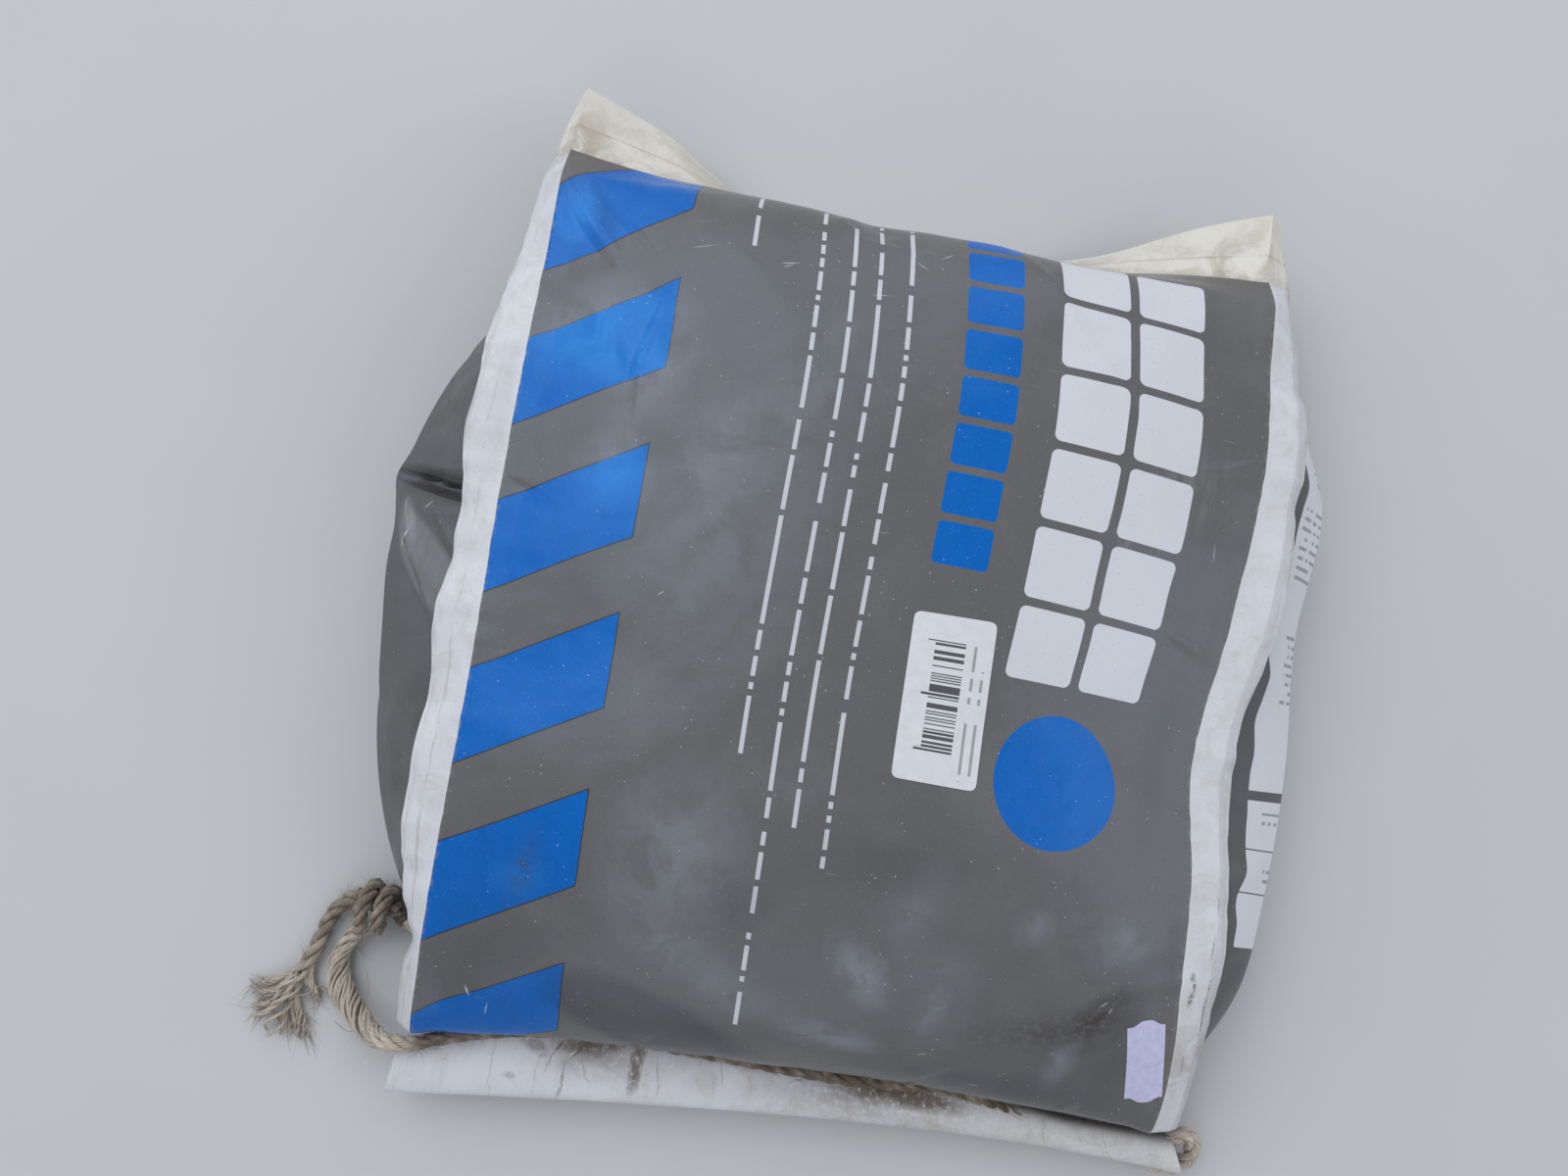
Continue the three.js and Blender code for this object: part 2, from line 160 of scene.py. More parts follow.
# The knot: a turn that wraps the rope's two ends, and what passes through its middle
KNOT_ROUTE = [
    [-147.5, -121.5, 5.6], [-147, -117.5, 10.5], [-146.2, -112.5, 13.4], [-145.4, -107.4, 10],
    [-144.8, -106.2, 5], [-143.7, -110.5, 3.2], [-142.5, -116.5, 4.2], [-141.5, -119.4, 8.5],
    [-140.6, -115.5, 13], [-139.8, -109.8, 12.6], [-139, -106.8, 8], [-138.4, -108.8, 3.6],
    [-136.6, -113.5, 3.2], [-133.6, -116.3, 5.2],
]
KNOT_CORE = [
    [-135, -112, 8.4], [-138.5, -112.6, 8.2], [-143, -112, 8], [-147, -110.4, 7], [-149.8, -109.8, 5.6],
]
STRAY_YARNS = [
    [[-148, -128, 5], [-143.5, -133, 7], [-141, -139.5, 7.5], [-141.5, -145.5, 8], [-143.5, -147.5, 8.5]],
    [[-158, -141, 1.5], [-163, -145.5, 4], [-170, -146, 3.2], [-177, -146.5, 1.6], [-179.5, -152, 0.8]],
    [[-160, -150, 1.2], [-163.5, -152.5, 4.2], [-166.5, -157.5, 2.4], [-163, -161, 0.8]],
    [[-134, -147, 19], [-138, -150.5, 15], [-145, -153.5, 9.5], [-151, -152.5, 5]],
]
FRAY_AIM, FRAY_SPREAD = -99, 76  # the frayed end's direction on the floor, and how far it fans out
# How far the flat print is carried along the film at the stripes' two ends, by place from the hem
PRINT_LEFT = [
    [13.8, 38.2, 71.1, 97, 126, 150, 178, 203, 232.5, 257, 284, 307],
    [-3.7, -3.9, 0, 1.4, 1.5, 0.6, 0, 0.5, 0.6, 0.5, 0.5, 9],
]
PRINT_RIGHT = [
    [43.6, 68.8, 97.1, 120.8, 148.4, 171.3, 200.4, 226.4, 256, 280, 307],
    [1.7, 2.3, 1.6, 0.7, -0.7, -2.4, -2.3, -0.9, 0, 2.1, 10],
]
PRINT_START = 3.4  # how far from the hem's crease the print's places begin
STRIPE_PERIOD = 53.6
STRIPE_HEIGHT = 29.0
STRIPE_SLOPE = 0.53
STRIPE_SQUARE = 0.88  # from a height along the film to one square to the stripe
STRIPE_SHIFT = 11.5
STRIPE_WIDTH = 46.0
STRIPE_END = STRIPE_WIDTH - PANEL_HALF
# Corners of the stickers on the panel, as places on the film
BARCODE_AT = [(16.7, 164.8), (42.3, 165.6), (44.2, 115.9), (17.7, 117)]
PRICE_AT = [(101.4, 46), (113.9, 46), (117.4, 20.8), (105.8, 19.3)]

# Shapes


def smoothstep(x, low, high):
    x = np.clip((np.asarray(x, float) - low) / (high - low), 0, 1)
    return x * x * (3 - 2 * x)


def rail(points):
    """A smooth curve through points, as a function of 0 to 1 that takes an array of places."""
    p = np.asarray(points, float) - CENTRE
    p = np.vstack([2 * p[0] - p[1], p, 2 * p[-1] - p[-2]])
    last = len(p) - 3

    def at(t):
        t = np.asarray(t, float)
        whole = np.minimum((t * last).astype(int), last - 1)
        part = (t * last - whole)[..., None]
        a, b, c, d = (p[whole + k] for k in range(4))
        near, here, next_ = (
            np.sqrt(np.linalg.norm(y - x, axis=-1, keepdims=True)) for x, y in ((a, b), (b, c), (c, d))
        )
        start = ((b - a) / near - (c - a) / (near + here) + (c - b) / here) * here
        end = ((c - b) / here - (d - b) / (here + next_) + (d - c) / next_) * here
        return (
            b
            + start * part
            + (3 * (c - b) - 2 * start - end) * part**2
            + (2 * (b - c) + start + end) * part**3
        )

    return at


RAILS = {
    "front": (rail(FRONT_LEFT), rail(FRONT_MIDDLE), rail(FRONT_RIGHT)),
    "back": (rail(BACK_LEFT), rail(BACK_MIDDLE), rail(BACK_RIGHT)),
    "gusset": (rail(GUSSET_LEFT), rail(GUSSET_RIGHT)),
}


def row_places():
    """Places along the rails, evenly spaced on the front panel, and how far each is from the hem."""
    t = np.linspace(0, 1, 2001)
    far = np.zeros(len(t))
    for curve, weight in zip(RAILS["front"], (0.25, 0.5, 0.25)):
        steps = np.linalg.norm(np.diff(curve(t), axis=0), axis=1)
        far[1:] += weight * np.cumsum(steps)
    v = np.linspace(0, far[-1], ROWS)
    return np.interp(v, far, t), v


def panel(side, t, across):
    """Points of the crowned front or the flat back panel: one row for each t, one column for each across."""
    left, middle, right = (r(t)[:, None, :] for r in RAILS[side])
    edge = np.where(across[None, :, None] < 0, left, right)
    share = np.abs(across)[None, :]
    bow = (BOW_HEM + (BOW_MARGIN - BOW_HEM) * t)[:, None]
    powers = np.stack(np.broadcast_arrays(share, share**bow, share**PANEL_ARCH), axis=2)
    points = middle + (edge - middle) * powers
    if side == "front":  # near the margin the film stands further out left of the middle than right of it
        slack = 2.8 * np.exp(-(((across + 0.38) / 0.28) ** 2)) - 3.0 * np.exp(-(((across - 0.42) / 0.2) ** 2))
        points[..., 1] += smoothstep(t, 0.8, 1)[:, None] * slack
    return points


def table(values, t):
    """A value given at evenly spread places, read in between along a smooth curve."""
    values = np.asarray(values, float)
    last = len(values) - 1
    whole = np.minimum((t * last).astype(int), last - 1)
    part = smoothstep(t * last - whole, 0, 1)
    return values[whole] + (values[whole + 1] - values[whole]) * part


def swell(seed, u, v, size, waves=18):
    """Smooth seeded undulation of about unit height, whose humps are about size apart."""
    draw = np.random.default_rng(seed)
    total = np.zeros(np.broadcast(u, v).shape)
    for _ in range(waves):
        angle, phase = draw.uniform(0, 2 * math.pi, 2)
        pace = 2 * math.pi / (size * draw.uniform(0.75, 1.7))
        total += np.cos(pace * (u * math.cos(angle) + v * math.sin(angle)) + phase)
    return total * math.sqrt(2 / waves)


def blob(u, v, at, size, turn=0.0):
    """A soft round spot of height 1, longer along one way where size has two numbers."""
    c, s = math.cos(math.radians(turn)), math.sin(math.radians(turn))
    x, y = u - at[0], v - at[1]
    return np.exp(-(((x * c + y * s) / size[0]) ** 2) - ((y * c - x * s) / size[1]) ** 2)


def fold(u, v, start, end, width, sharp=1.0):
    """A crease from start to end that fades at both, of height 1 on its line."""
    x, y = end[0] - start[0], end[1] - start[1]
    long = math.hypot(x, y)
    lengthwise = ((u - start[0]) * x + (v - start[1]) * y) / long**2
    beside = np.abs((u - start[0]) * y - (v - start[1]) * x) / long
    fade = smoothstep(lengthwise, -0.05, 0.25) * (1 - smoothstep(lengthwise, 0.75, 1.05))
    return fade * np.exp(-((beside / width) ** sharp))


# Dents, (place, size, turn, depth), and creases, (start, end, width, sharpness, height), of the front panel
DENTS = [
    ((16, 78), (17, 10), 25, 1.1), ((0, 52), (22, 8), 12, 0.9), ((53, 60), (16, 12), -20, 0.8),
    ((-30, 40), (20, 14), 30, 0.8), ((-20, 88), (18, 26), 20, -0.7), ((88, 66), (12, 16), 0, 0.7),
    ((-78, 244), (5, 15), 20, 1.3), ((-92, 236), (9, 9), 0, -0.7), ((-112, 218), (6, 7), 0, 0.8),
    ((-60, 280), (16, 10), 0, -0.8), ((60, 262), (26, 8), 35, 0.8), ((-40, 200), (30, 12), 30, 0.5),
    ((84, 150), (14, 30), 0, 0.6), ((-96, 128), (10, 16), 0, 0.5), ((-30, 150), (34, 30), 0, -0.6),
    ((100, 96), (10, 18), 0, 0.6), ((70, 24), (18, 8), 10, 0.6),
]
FOLDS = [
    ((-119, 288), (-95, 262), 4.4, 1.4, -1.5), ((25.6, 300), (83.6, 224), 3.0, 1.1, 0.8),
    ((-24, 296), (-17, 283), 3.0, 1.0, 1.2), ((-19, 284), (14, 279), 2.6, 1.0, 0.9),
    ((-17, 300), (-4, 288), 3.2, 1.0, -1.0), ((-84, 250), (-80, 222), 4.0, 1.2, -0.9),
    ((-70, 280), (-30, 258), 3.4, 1.2, 0.5), ((-118, 187.4), (-100, 185.5), 2.2, 1.4, -0.7),
    ((118, 238), (94, 226), 2.6, 1.4, -0.6), ((118, 172), (98, 176), 2.4, 1.4, -0.5),
    ((-118, 96), (-100, 100), 2.4, 1.4, -0.4), ((12, 82), (20, 72), 1.4, 1.2, -0.5),
    ((-75, 262), (-66, 236), 2.0, 1.3, 0.5), ((96, 50), (82, 40), 1.6, 1.2, -0.5),
    ((40, 6), (52, 30), 2.2, 1.3, -0.5), ((-46, 8), (-40, 32), 2.2, 1.3, -0.5),
]
# Creases across the left gusset: from and to (across it, along it), width, sharpness, height
GUSSET_FOLDS = [
    ((44, 188), (2, 183), 3.4, 1.1, -6.0), ((46, 178), (10, 177), 4.5, 1.5, 1.6),
    ((42, 172), (8, 146), 3.0, 1.1, 2.4), ((38, 160), (8, 132), 4.0, 1.3, -1.6),
    ((50, 120), (20, 112), 4.0, 1.5, -0.8), ((50, 234), (16, 226), 4.0, 1.5, -0.9),
]


def front_relief(u, v):
    """How far the front film stands off its smooth shape, in millimetres."""
    height = 0.4 * swell(3, u, v, 70) + 0.13 * swell(4, u, v, 24) + 0.035 * swell(6, u, v, 9)
    for at, size, turn, depth in DENTS:
        height = height - depth * blob(u, v, at, size, turn)
    for start, end, width, sharp, rise in FOLDS:
        height = height + rise * fold(u, v, start, end, width, sharp)
    side = PANEL_HALF - np.abs(u)
    puckers = np.sin(v / 2.9 + 1.6 * swell(5, v, v, 30)) * np.exp(-side / 7)
    return height * smoothstep(side, 0, 9) + 0.16 * puckers


# The cloth simulation: its frames, its scale in metres for a millimetre, and how much of its moves is kept
SLACK_FRAMES, SLACK_SCALE = 20, 0.01
SLACK_SHARE, SLACK_MOST = 0.6, 1.2


def slackened(front, v):
    """How a short cloth simulation moves the front film, as a coarse sheet a little too large for its frame.

    The moves stand square to the film, are scaled down and capped, and are read back on the fine grid.
    """
    rows, columns = 92, 69
    t = np.interp(np.linspace(0, v[-1], rows), v, row_places()[0])
    coarse = panel("front", t, np.linspace(-1, 1, columns))
    across, along = np.linspace(-PANEL_HALF, PANEL_HALF, columns), np.linspace(0, v[-1], rows)
    coarse = coarse + normals(coarse) * front_relief(across[None], along[:, None])[..., None]
    corner = np.arange(rows * columns).reshape(rows, columns)
    faces = np.stack([corner[:-1, :-1], corner[:-1, 1:], corner[1:, 1:], corner[1:, :-1]], 2).reshape(-1, 4)
    sheet = new_piece("slack_sheet", coarse.reshape(-1, 3), faces, SLACK_SCALE)
    frame_edge = np.ones((rows, columns), bool)
    frame_edge[2:-2, 2:-2] = False
    held = sheet.vertex_groups.new(name="held")
    held.add(np.flatnonzero(frame_edge.ravel()).tolist(), 1.0, "REPLACE")
    cloth = sheet.modifiers.new("film", "CLOTH")
    film = cloth.settings
    film.quality, film.mass, film.air_damping = 5, 0.3, 1.0
    film.tension_stiffness = film.compression_stiffness = 20
    film.shear_stiffness, film.bending_stiffness = 10, 10
    film.vertex_group_mass, film.shrink_min = "held", -0.003
    film.use_pressure, film.uniform_pressure_force = True, 0.3
    film.effector_weights.gravity = 0
    cloth.collision_settings.use_collision = False
    cloth.point_cache.frame_start, cloth.point_cache.frame_end = 1, SLACK_FRAMES
    for number in range(1, SLACK_FRAMES + 1):
        bpy.context.scene.frame_set(number)
    settled = sheet.evaluated_get(bpy.context.evaluated_depsgraph_get())
    flat = np.empty(rows * columns * 3, np.float32)
    settled.data.vertices.foreach_get("co", flat)
    moved = ((flat.reshape(rows, columns, 3) / SLACK_SCALE - coarse) * normals(coarse)).sum(2)
    bpy.data.objects.remove(sheet)
    bpy.context.scene.frame_set(1)
    moved = np.clip((moved - moved.mean()) * SLACK_SHARE, -SLACK_MOST, SLACK_MOST)
    fine_rows, fine_columns = front.shape[:2]
    column_at, row_at = np.linspace(0, columns - 1, fine_columns), np.linspace(0, rows - 1, fine_rows)
    wide = np.stack([np.interp(column_at, np.arange(columns), row) for row in moved])
    full = np.stack([np.interp(row_at, np.arange(rows), column) for column in wide.T], 1)
    for _ in range(3):
        for axis in (0, 1):
            full = (np.roll(full, 1, axis) + 2 * full + np.roll(full, -1, axis)) / 4
    side = np.minimum(np.linspace(0, 1, fine_columns), np.linspace(1, 0, fine_columns)) * 2 * PANEL_HALF
    end = np.minimum(v, v[-1] - v)
    return (full * smoothstep(side, 1, 8)[None] * smoothstep(end, 1, 9)[:, None])[..., None]


def normals(points):
    """Unit normals of a grid of points, upwards where its rows run to +Y and its columns to +X."""
    along, beside = np.gradient(points, axis=0), np.gradient(points, axis=1)
    n = np.cross(beside, along)
    return n / np.maximum(np.linalg.norm(n, axis=2, keepdims=True), 1e-9)


def fin(root, lean, outward, thick, v, seed, wider, crease):
    """A fin's outer face from its root to its tip, and its inner face from its tip to its root."""
    share = np.array(FIN_SHARES)
    kink = 3 * swell(seed, v, v, 60) - crease[1]
    wave = 0.5 * swell(seed + 1, v, v, 34)
    width = FIN_WIDTH + 0.35 * swell(seed + 2, v, v, 50)
    width = width + wider[2] * np.exp(-(((v - wider[0]) / wider[1]) ** 2))

    def way(degrees):
        angle = np.radians(degrees)
        return np.stack([outward * np.cos(angle), 0 * angle, np.sin(angle)], 1)

    inner, outer = np.minimum(share, crease[0]), np.maximum(share - crease[0], 0)
    points = (
        root[:, None]
        + way(lean)[:, None] * (inner * width[:, None])[..., None]
        + way(lean + kink)[:, None] * (outer * width[:, None])[..., None]
    )
    points[..., 2] += wave[:, None] * share**2
    turned = np.radians(lean)
    off = np.stack([outward * np.sin(turned), 0 * turned, -np.cos(turned)], 1) * thick
    return points, (points + off[:, None])[:, ::-1]


def gusset(start, end, outward, v, seed, upper):
    """One half of a gusset from one edge to the other, a little fuller in between."""
    part = np.linspace(0, 1, GUSSET_COLUMNS + 1)
    points = start[:, None] + (end - start)[:, None] * part[:, None]
    wide = np.linalg.norm(end - start, axis=1)
    full = np.minimum(1, wide / 30)[:, None] * np.sin(math.pi * part)
    dents = 0.5 * swell(seed, part * 30, v[:, None], 26) + 0.2 * swell(seed + 1, part * 30, v[:, None], 11)
    points[..., 0] += outward * full * (3.0 + dents)
    if outward < 0:  # the filled side has a corner where its deepest fold meets the outline
        corner = 2.0 * np.exp(-(((v - 187) / 6) ** 2)) - 1.3 * np.exp(-(((v - 170) / 9) ** 2))
        points[..., 0] -= corner[:, None] * np.sin(math.pi * (part if upper else 1 - part) / 2)
    if outward < 0 and upper:
        for low, high, width, sharp, rise in GUSSET_FOLDS:
            crease = rise * fold(part[None] * GUSSET_HALF, v[:, None], low, high, width, sharp)
            crease = crease * np.minimum(1, wide / 20)[:, None]
            points[..., 0] += outward * crease * 0.6
            points[..., 2] += crease * 0.8
    return points


REGIONS = ["panel", "back", "gusset", "fin", "margin"]


def sack_runs(t, v):
    """The runs of points that make up a section of the sack, in turn: region, points, u and flat places.

    A flat place says where the run goes in the flat margin: how far across, and towards which of its faces.
    """
    across = np.linspace(-1, 1, PANEL_COLUMNS + 1)
    front = panel("front", t, across)
    smooth = normals(front)
    front += smooth * front_relief(across[None] * PANEL_HALF, v[:, None])[..., None]
    front += smooth * slackened(front, v)
    back = panel("back", t, across)
    back[..., 2] += 0.25 * (1 + swell(8, across[None] * PANEL_HALF, v[:, None], 40)) * (1 - across**2)
    back[..., 2] = np.maximum(back[..., 2], 0.02)
    sides = {}
    fronts = (-1, LEAN_FRONT_LEFT, WIDER_LEFT, CREASE_LEFT), (1, LEAN_FRONT_RIGHT, WIDER_RIGHT, CREASE_RIGHT)
    for k, (outward, front_lean, wider, crease) in enumerate(fronts):
        edge = 0 if outward < 0 else -1
        lean = table(front_lean, v / v[-1])
        top, under = fin(front[:, edge], lean, outward, FIN_THICK, v, 20 + 5 * k, wider, crease)
        lean = table(LEAN_BACK, t)
        below, above = fin(back[:, edge], lean, outward, -FIN_THICK, v, 40 + 5 * k, (0, 1, 0), CREASE_LEFT)
        below[..., 2] = np.maximum(below[..., 2], FLOOR_GAP)
        above[..., 2] = np.maximum(above[..., 2], FLOOR_GAP + FIN_THICK)
        middle = RAILS["gusset"][k](t)
        upper = gusset(under[:, -1], middle, outward, v, 60 + 5 * k, True)
        lower = gusset(middle, above[:, -1], outward, v, 80 + 5 * k, False)
        sides[outward] = (top, under, upper, lower, above[:, ::-1], below[:, ::-1])
    share = np.array(FIN_SHARES)
    part = np.linspace(0, 1, GUSSET_COLUMNS + 1)
    fin_u, gusset_u = share * FIN_WIDTH, part * GUSSET_HALF
    edge_u = np.array([FIN_WIDTH, FIN_WIDTH + FIN_THICK])

    def flat(across, face):
        return np.stack(np.broadcast_arrays(across, face), 1)

    def fin_edge(first, second, faces, past):
        return "fin", np.stack([first[:, -1], second[:, 0]], 1), edge_u, flat(past[[-1, -1]], np.array(faces))

    def side_runs(outward):
        top, under, upper, lower, above, below = sides[outward]
        past, tucked = outward * (1 + share), outward * (0.99 - 0.1 * part)
        faces = np.interp(part, [0, 1], [0.12, 0])
        upper_at, lower_at = np.where(part > 0, tucked, outward), np.where(part < 1, tucked[::-1], outward)
        return [
            ("fin", top, fin_u, flat(past, 1.0)),
            fin_edge(top, under, [1, 0.15], past),
            ("fin", under, fin_u[::-1], flat(past[::-1], 0.15)),
            ("gusset", upper, gusset_u, flat(upper_at, faces)),
            ("gusset", lower, GUSSET_HALF + gusset_u, flat(lower_at, -faces[::-1])),
            ("fin", above, fin_u, flat(past, -0.15)),
            fin_edge(above, below, [-0.15, -1], past),
            ("fin", below, fin_u[::-1], flat(past[::-1], -1.0)),
        ]

    def turned(runs):
        return [(region, points[:, ::-1], u[::-1], place[::-1]) for region, points, u, place in runs[::-1]]

    return [
        ("panel", front, across * PANEL_HALF, flat(across, 1.0)),
        *side_runs(1),
        ("back", back[:, ::-1], across[::-1] * PANEL_HALF, flat(across[::-1], -1.0)),
        *turned(side_runs(-1)),
    ]


def margin_ring(flat, distance):
    """A section of the flat margin, at a distance from its seam."""
    inside = np.clip(flat[:, 0], -1, 1)
    past = flat[:, 0] - inside
    one = np.ones(1)

    def middle(across):
        return 0.5 * (panel("front", one, across)[0] + panel("back", one, across)[0])

    edge_rail = rail(MARGIN_EDGE)
    places = np.linspace(0, 1, len(MARGIN_EDGE_AT))

    def centre(across, share):
        seam, edge = middle(across), edge_rail(np.interp(across, MARGIN_EDGE_AT, places))
        point = seam + (edge - seam) * share
        point[:, 2] += 1.6 * math.sin(math.pi * share) * (1 - 0.5 * np.abs(across))
        point[:, 2] += 0.5 * share * swell(70, across * PANEL_HALF, 25 * share, 38)
        return point

    share = distance / MARGIN_WIDTH
    points = centre(inside, share)
    beside = centre(inside + 0.01, share) - centre(inside - 0.01, share)
    out = centre(inside, share + 0.02) - centre(inside, share - 0.02)
    up = np.cross(beside, out)
    up /= np.linalg.norm(up, axis=1, keepdims=True)
    thick = 0.35 + 0.9 * math.exp(-distance / 4)
    points = points + up * flat[:, 1:] * thick
    lean = np.radians(np.where(past < 0, LEAN_FRONT_LEFT[-1], LEAN_FRONT_RIGHT[-1]) - 12 * share)
    wave = 0.4 * np.sin(distance / 5 + past)
    wide = FIN_WIDTH * (1 - np.where(past < 0, 0.6, 0.5) * share)
    points[:, 0] += past * wide * np.cos(lean)
    points[:, 2] += np.abs(past) * wide * np.sin(lean)
    points[:, 0] += past * wave
    points[:, 2] = np.maximum(points[:, 2], 0.1)
    return points


def sack_mesh():
    """The film sack's points, faces, and for each corner of each face its region and place on the film."""
    t, v = row_places()
    runs = sack_runs(t, v)
    flat = np.concatenate([place[:-1] for *_, place in runs])
    body = np.concatenate([points[:, :-1] for _, points, *_ in runs], axis=1)
    reach = MARGIN_WIDTH * (np.arange(1, MARGIN_ROWS + 1) / MARGIN_ROWS)
    rings = np.concatenate([body, [margin_ring(flat, d) for d in reach]])
    far = np.concatenate([v, v[-1] + reach])
    count = rings.shape[1]
    region = np.concatenate([[REGIONS.index(name)] * (len(u) - 1) for name, _, u, _ in runs])
    u_start = np.concatenate([u[:-1] for *_, u, _ in runs])
    u_end = np.concatenate([u[1:] for *_, u, _ in runs])
    faces, kinds, places = [], [], []
    for row in range(len(rings) - 1):
        for i in range(count):
            j = (i + 1) % count
            a, b = row * count, (row + 1) * count
            low, high = far[row], far[row + 1]
            faces.append((a + i, a + j, b + j, b + i))
            kinds.append(REGIONS.index("margin") if row >= ROWS - 1 else region[i])
            places.append([(u_start[i], low), (u_end[i], low), (u_end[i], high), (u_start[i], high)])
    # both ends are closed flat, from the upper half of the ring to the lower one
    side = (count - 2 * (PANEL_COLUMNS + 1)) // 2
    turn = 2 * PANEL_COLUMNS + side + 1
    first = turn + (side + 1) // 2
    upper = [(first + k) % count for k in range(PANEL_COLUMNS + side + 2)]
    for row, kind in ((0, "back"), (len(rings) - 1, "margin")):
        start = row * count
        for i, j in zip(upper, upper[1:]):
            ring = [i, j, (turn - j) % count, (turn - i) % count]
            ring = [start + k for n, k in enumerate(ring) if k not in ring[:n]]
            faces.append(ring if row else ring[::-1])
            kinds.append(REGIONS.index(kind))
            places.append([(u_start[i], far[row])] * len(ring))
    return rings.reshape(-1, 3), faces, kinds, places


def new_piece(name, points, faces, scale=MM):
    """An object from points in millimetres."""
    mesh = bpy.data.meshes.new(name)
    mesh.from_pydata((np.asarray(points, float) * scale).tolist(), [], [list(map(int, f)) for f in faces])
    mesh.validate()
    piece = bpy.data.objects.new(name, mesh)
    bpy.context.scene.collection.objects.link(piece)
    return piece


def select_only(piece):
    bpy.ops.object.select_all(action="DESELECT")
    piece.select_set(True)
    bpy.context.view_layer.objects.active = piece


def tidy(piece, angle=40.0):
    """Faces outwards, and shading that is smooth except over sharp edges."""
    select_only(piece)
    bpy.ops.object.mode_set(mode="EDIT")
    bpy.ops.mesh.select_all(action="SELECT")
    bpy.ops.mesh.normals_make_consistent(inside=False)
    bpy.ops.object.mode_set(mode="OBJECT")
    bpy.ops.object.shade_smooth_by_angle(angle=math.radians(angle))
    return piece


def add_map(piece, name, places):
    """A UV map from a list of places for each face."""
    layer = piece.data.uv_layers.new(name=name)
    flat = np.array([p for face in places for p in face], np.float32)
    layer.data.foreach_set("uv", flat.ravel())


def add_value(piece, name, values):
    """A number for each point of a mesh, for its material."""
    layer = piece.data.attributes.new(name, "FLOAT", "POINT")
    layer.data.foreach_set("value", np.asarray(values, np.float32))


def hem_mesh():
    """The hem: a soft flattened tunnel of folded film with open ends. Points, faces and places."""
    rows, around = 160, 26
    s = np.linspace(0, 1, rows)
    inner, outer = rail(HEM_INNER)(s), rail(HEM_OUTER)(s)
    thick = table(HEM_THICK, s) + 0.35 * swell(90, s * HEM_LONG, 0 * s, 30)
    angle = np.linspace(0, 2 * math.pi, around, endpoint=False)
    across = 0.5 - 0.5 * np.cos(angle)
    face = np.sin(angle)
    roll = smoothstep(s, 0.5, 0.8)[:, None]
    profile = np.sign(face) * np.abs(face) ** 0.8 * ((0.5 + 0.62 * across) * (1 - roll) + roll)
    out = outer - inner
    along = np.gradient(inner + outer, axis=0)
    up = np.cross(along, out)
    up /= np.linalg.norm(up, axis=1, keepdims=True)
    up *= np.sign(up[:, 2:])
    points = inner[:, None] + out[:, None] * across[:, None]
    points = points + up[:, None] * (profile * (thick / 2)[:, None])[..., None]
    points[..., 2] += 0.5 * swell(91, (s * HEM_LONG)[:, None], (across * 20)[None], 26) * np.maximum(face, 0)
    steps = np.linalg.norm(np.diff((inner + outer) / 2, axis=0), axis=1)
    at = np.concatenate([[0], np.cumsum(steps)])
    middle = points.mean(axis=1, keepdims=True)
    faces, places = [], []

    def strip(start_a, start_b, flip):
        for i in range(around):
            j = (i + 1) % around
            quad = [start_a + i, start_b + i, start_b + j, start_a + j]
            faces.append(quad[::-1] if flip else quad)
            places.append([(0.0, 0.0)] * 4)

    for row in range(rows - 1):
        for i in range(around):
            j = (i + 1) % around
            a, b = row * around, (row + 1) * around
            faces.append([a + i, b + i, b + j, a + j])
            low, high, near, next_ = at[row], at[row + 1], i / around, (i + 1) / around
            places.append([(low, near), (high, near), (high, next_), (low, next_)])
    flat = [points.reshape(-1, 3)]
    total = rows * around
    for row, flip in ((0, False), (rows - 1, True)):
        rim = points[row]
        centre = middle[row, 0]
        inward = np.gradient(middle[:, 0], axis=0)[row]
        inward = inward / np.linalg.norm(inward) * (1 if row == 0 else -1)
        to_centre = centre - rim
        close = np.minimum(HEM_FILM / np.maximum(np.linalg.norm(to_centre, axis=1), 1e-6), 0.45)
        lip = rim + to_centre * close[:, None]
        deep = centre + (lip - centre) * 0.55 + inward * HEM_OPENING
        flat += [lip, deep, (deep.mean(axis=0) + inward)[None]]
        strip(row * around, total, not flip)
        strip(total, total + around, not flip)
        tip = total + 2 * around
        for i in range(around):
            j = (i + 1) % around
            fan = [total + around + i, tip, total + around + j]
            faces.append(fan if flip else fan[::-1])
            places.append([(0.0, 0.0)] * 3)
        total += 2 * around + 1
    return np.concatenate(flat), faces, places


# Rope


def frames(points):
    """Unit tangents of a line, with a pair of directions across it that doesn't twist along it."""
    tangent = np.gradient(points, axis=0)
    tangent /= np.linalg.norm(tangent, axis=1, keepdims=True)
    side = np.cross(tangent[0], [0.1, 0.2, 1.0])
    sides = []
    for t in tangent:
        side = side - t * (side @ t)
        side /= np.linalg.norm(side)
        sides.append(side)
    sides = np.array(sides)
    return tangent, sides, np.cross(tangent, sides)


def evenly(points, step):
    """Points about one step apart along a line."""
    far = np.concatenate([[0], np.cumsum(np.linalg.norm(np.diff(points, axis=0), axis=1))])
    places = np.linspace(0, far[-1], max(2, round(far[-1] / step) + 1))
    return np.stack([np.interp(places, far, points[:, k]) for k in range(3)], 1), places


def route(table_points, step=1.4):
    return evenly(rail(table_points)(np.linspace(0, 1, 3000)), step)


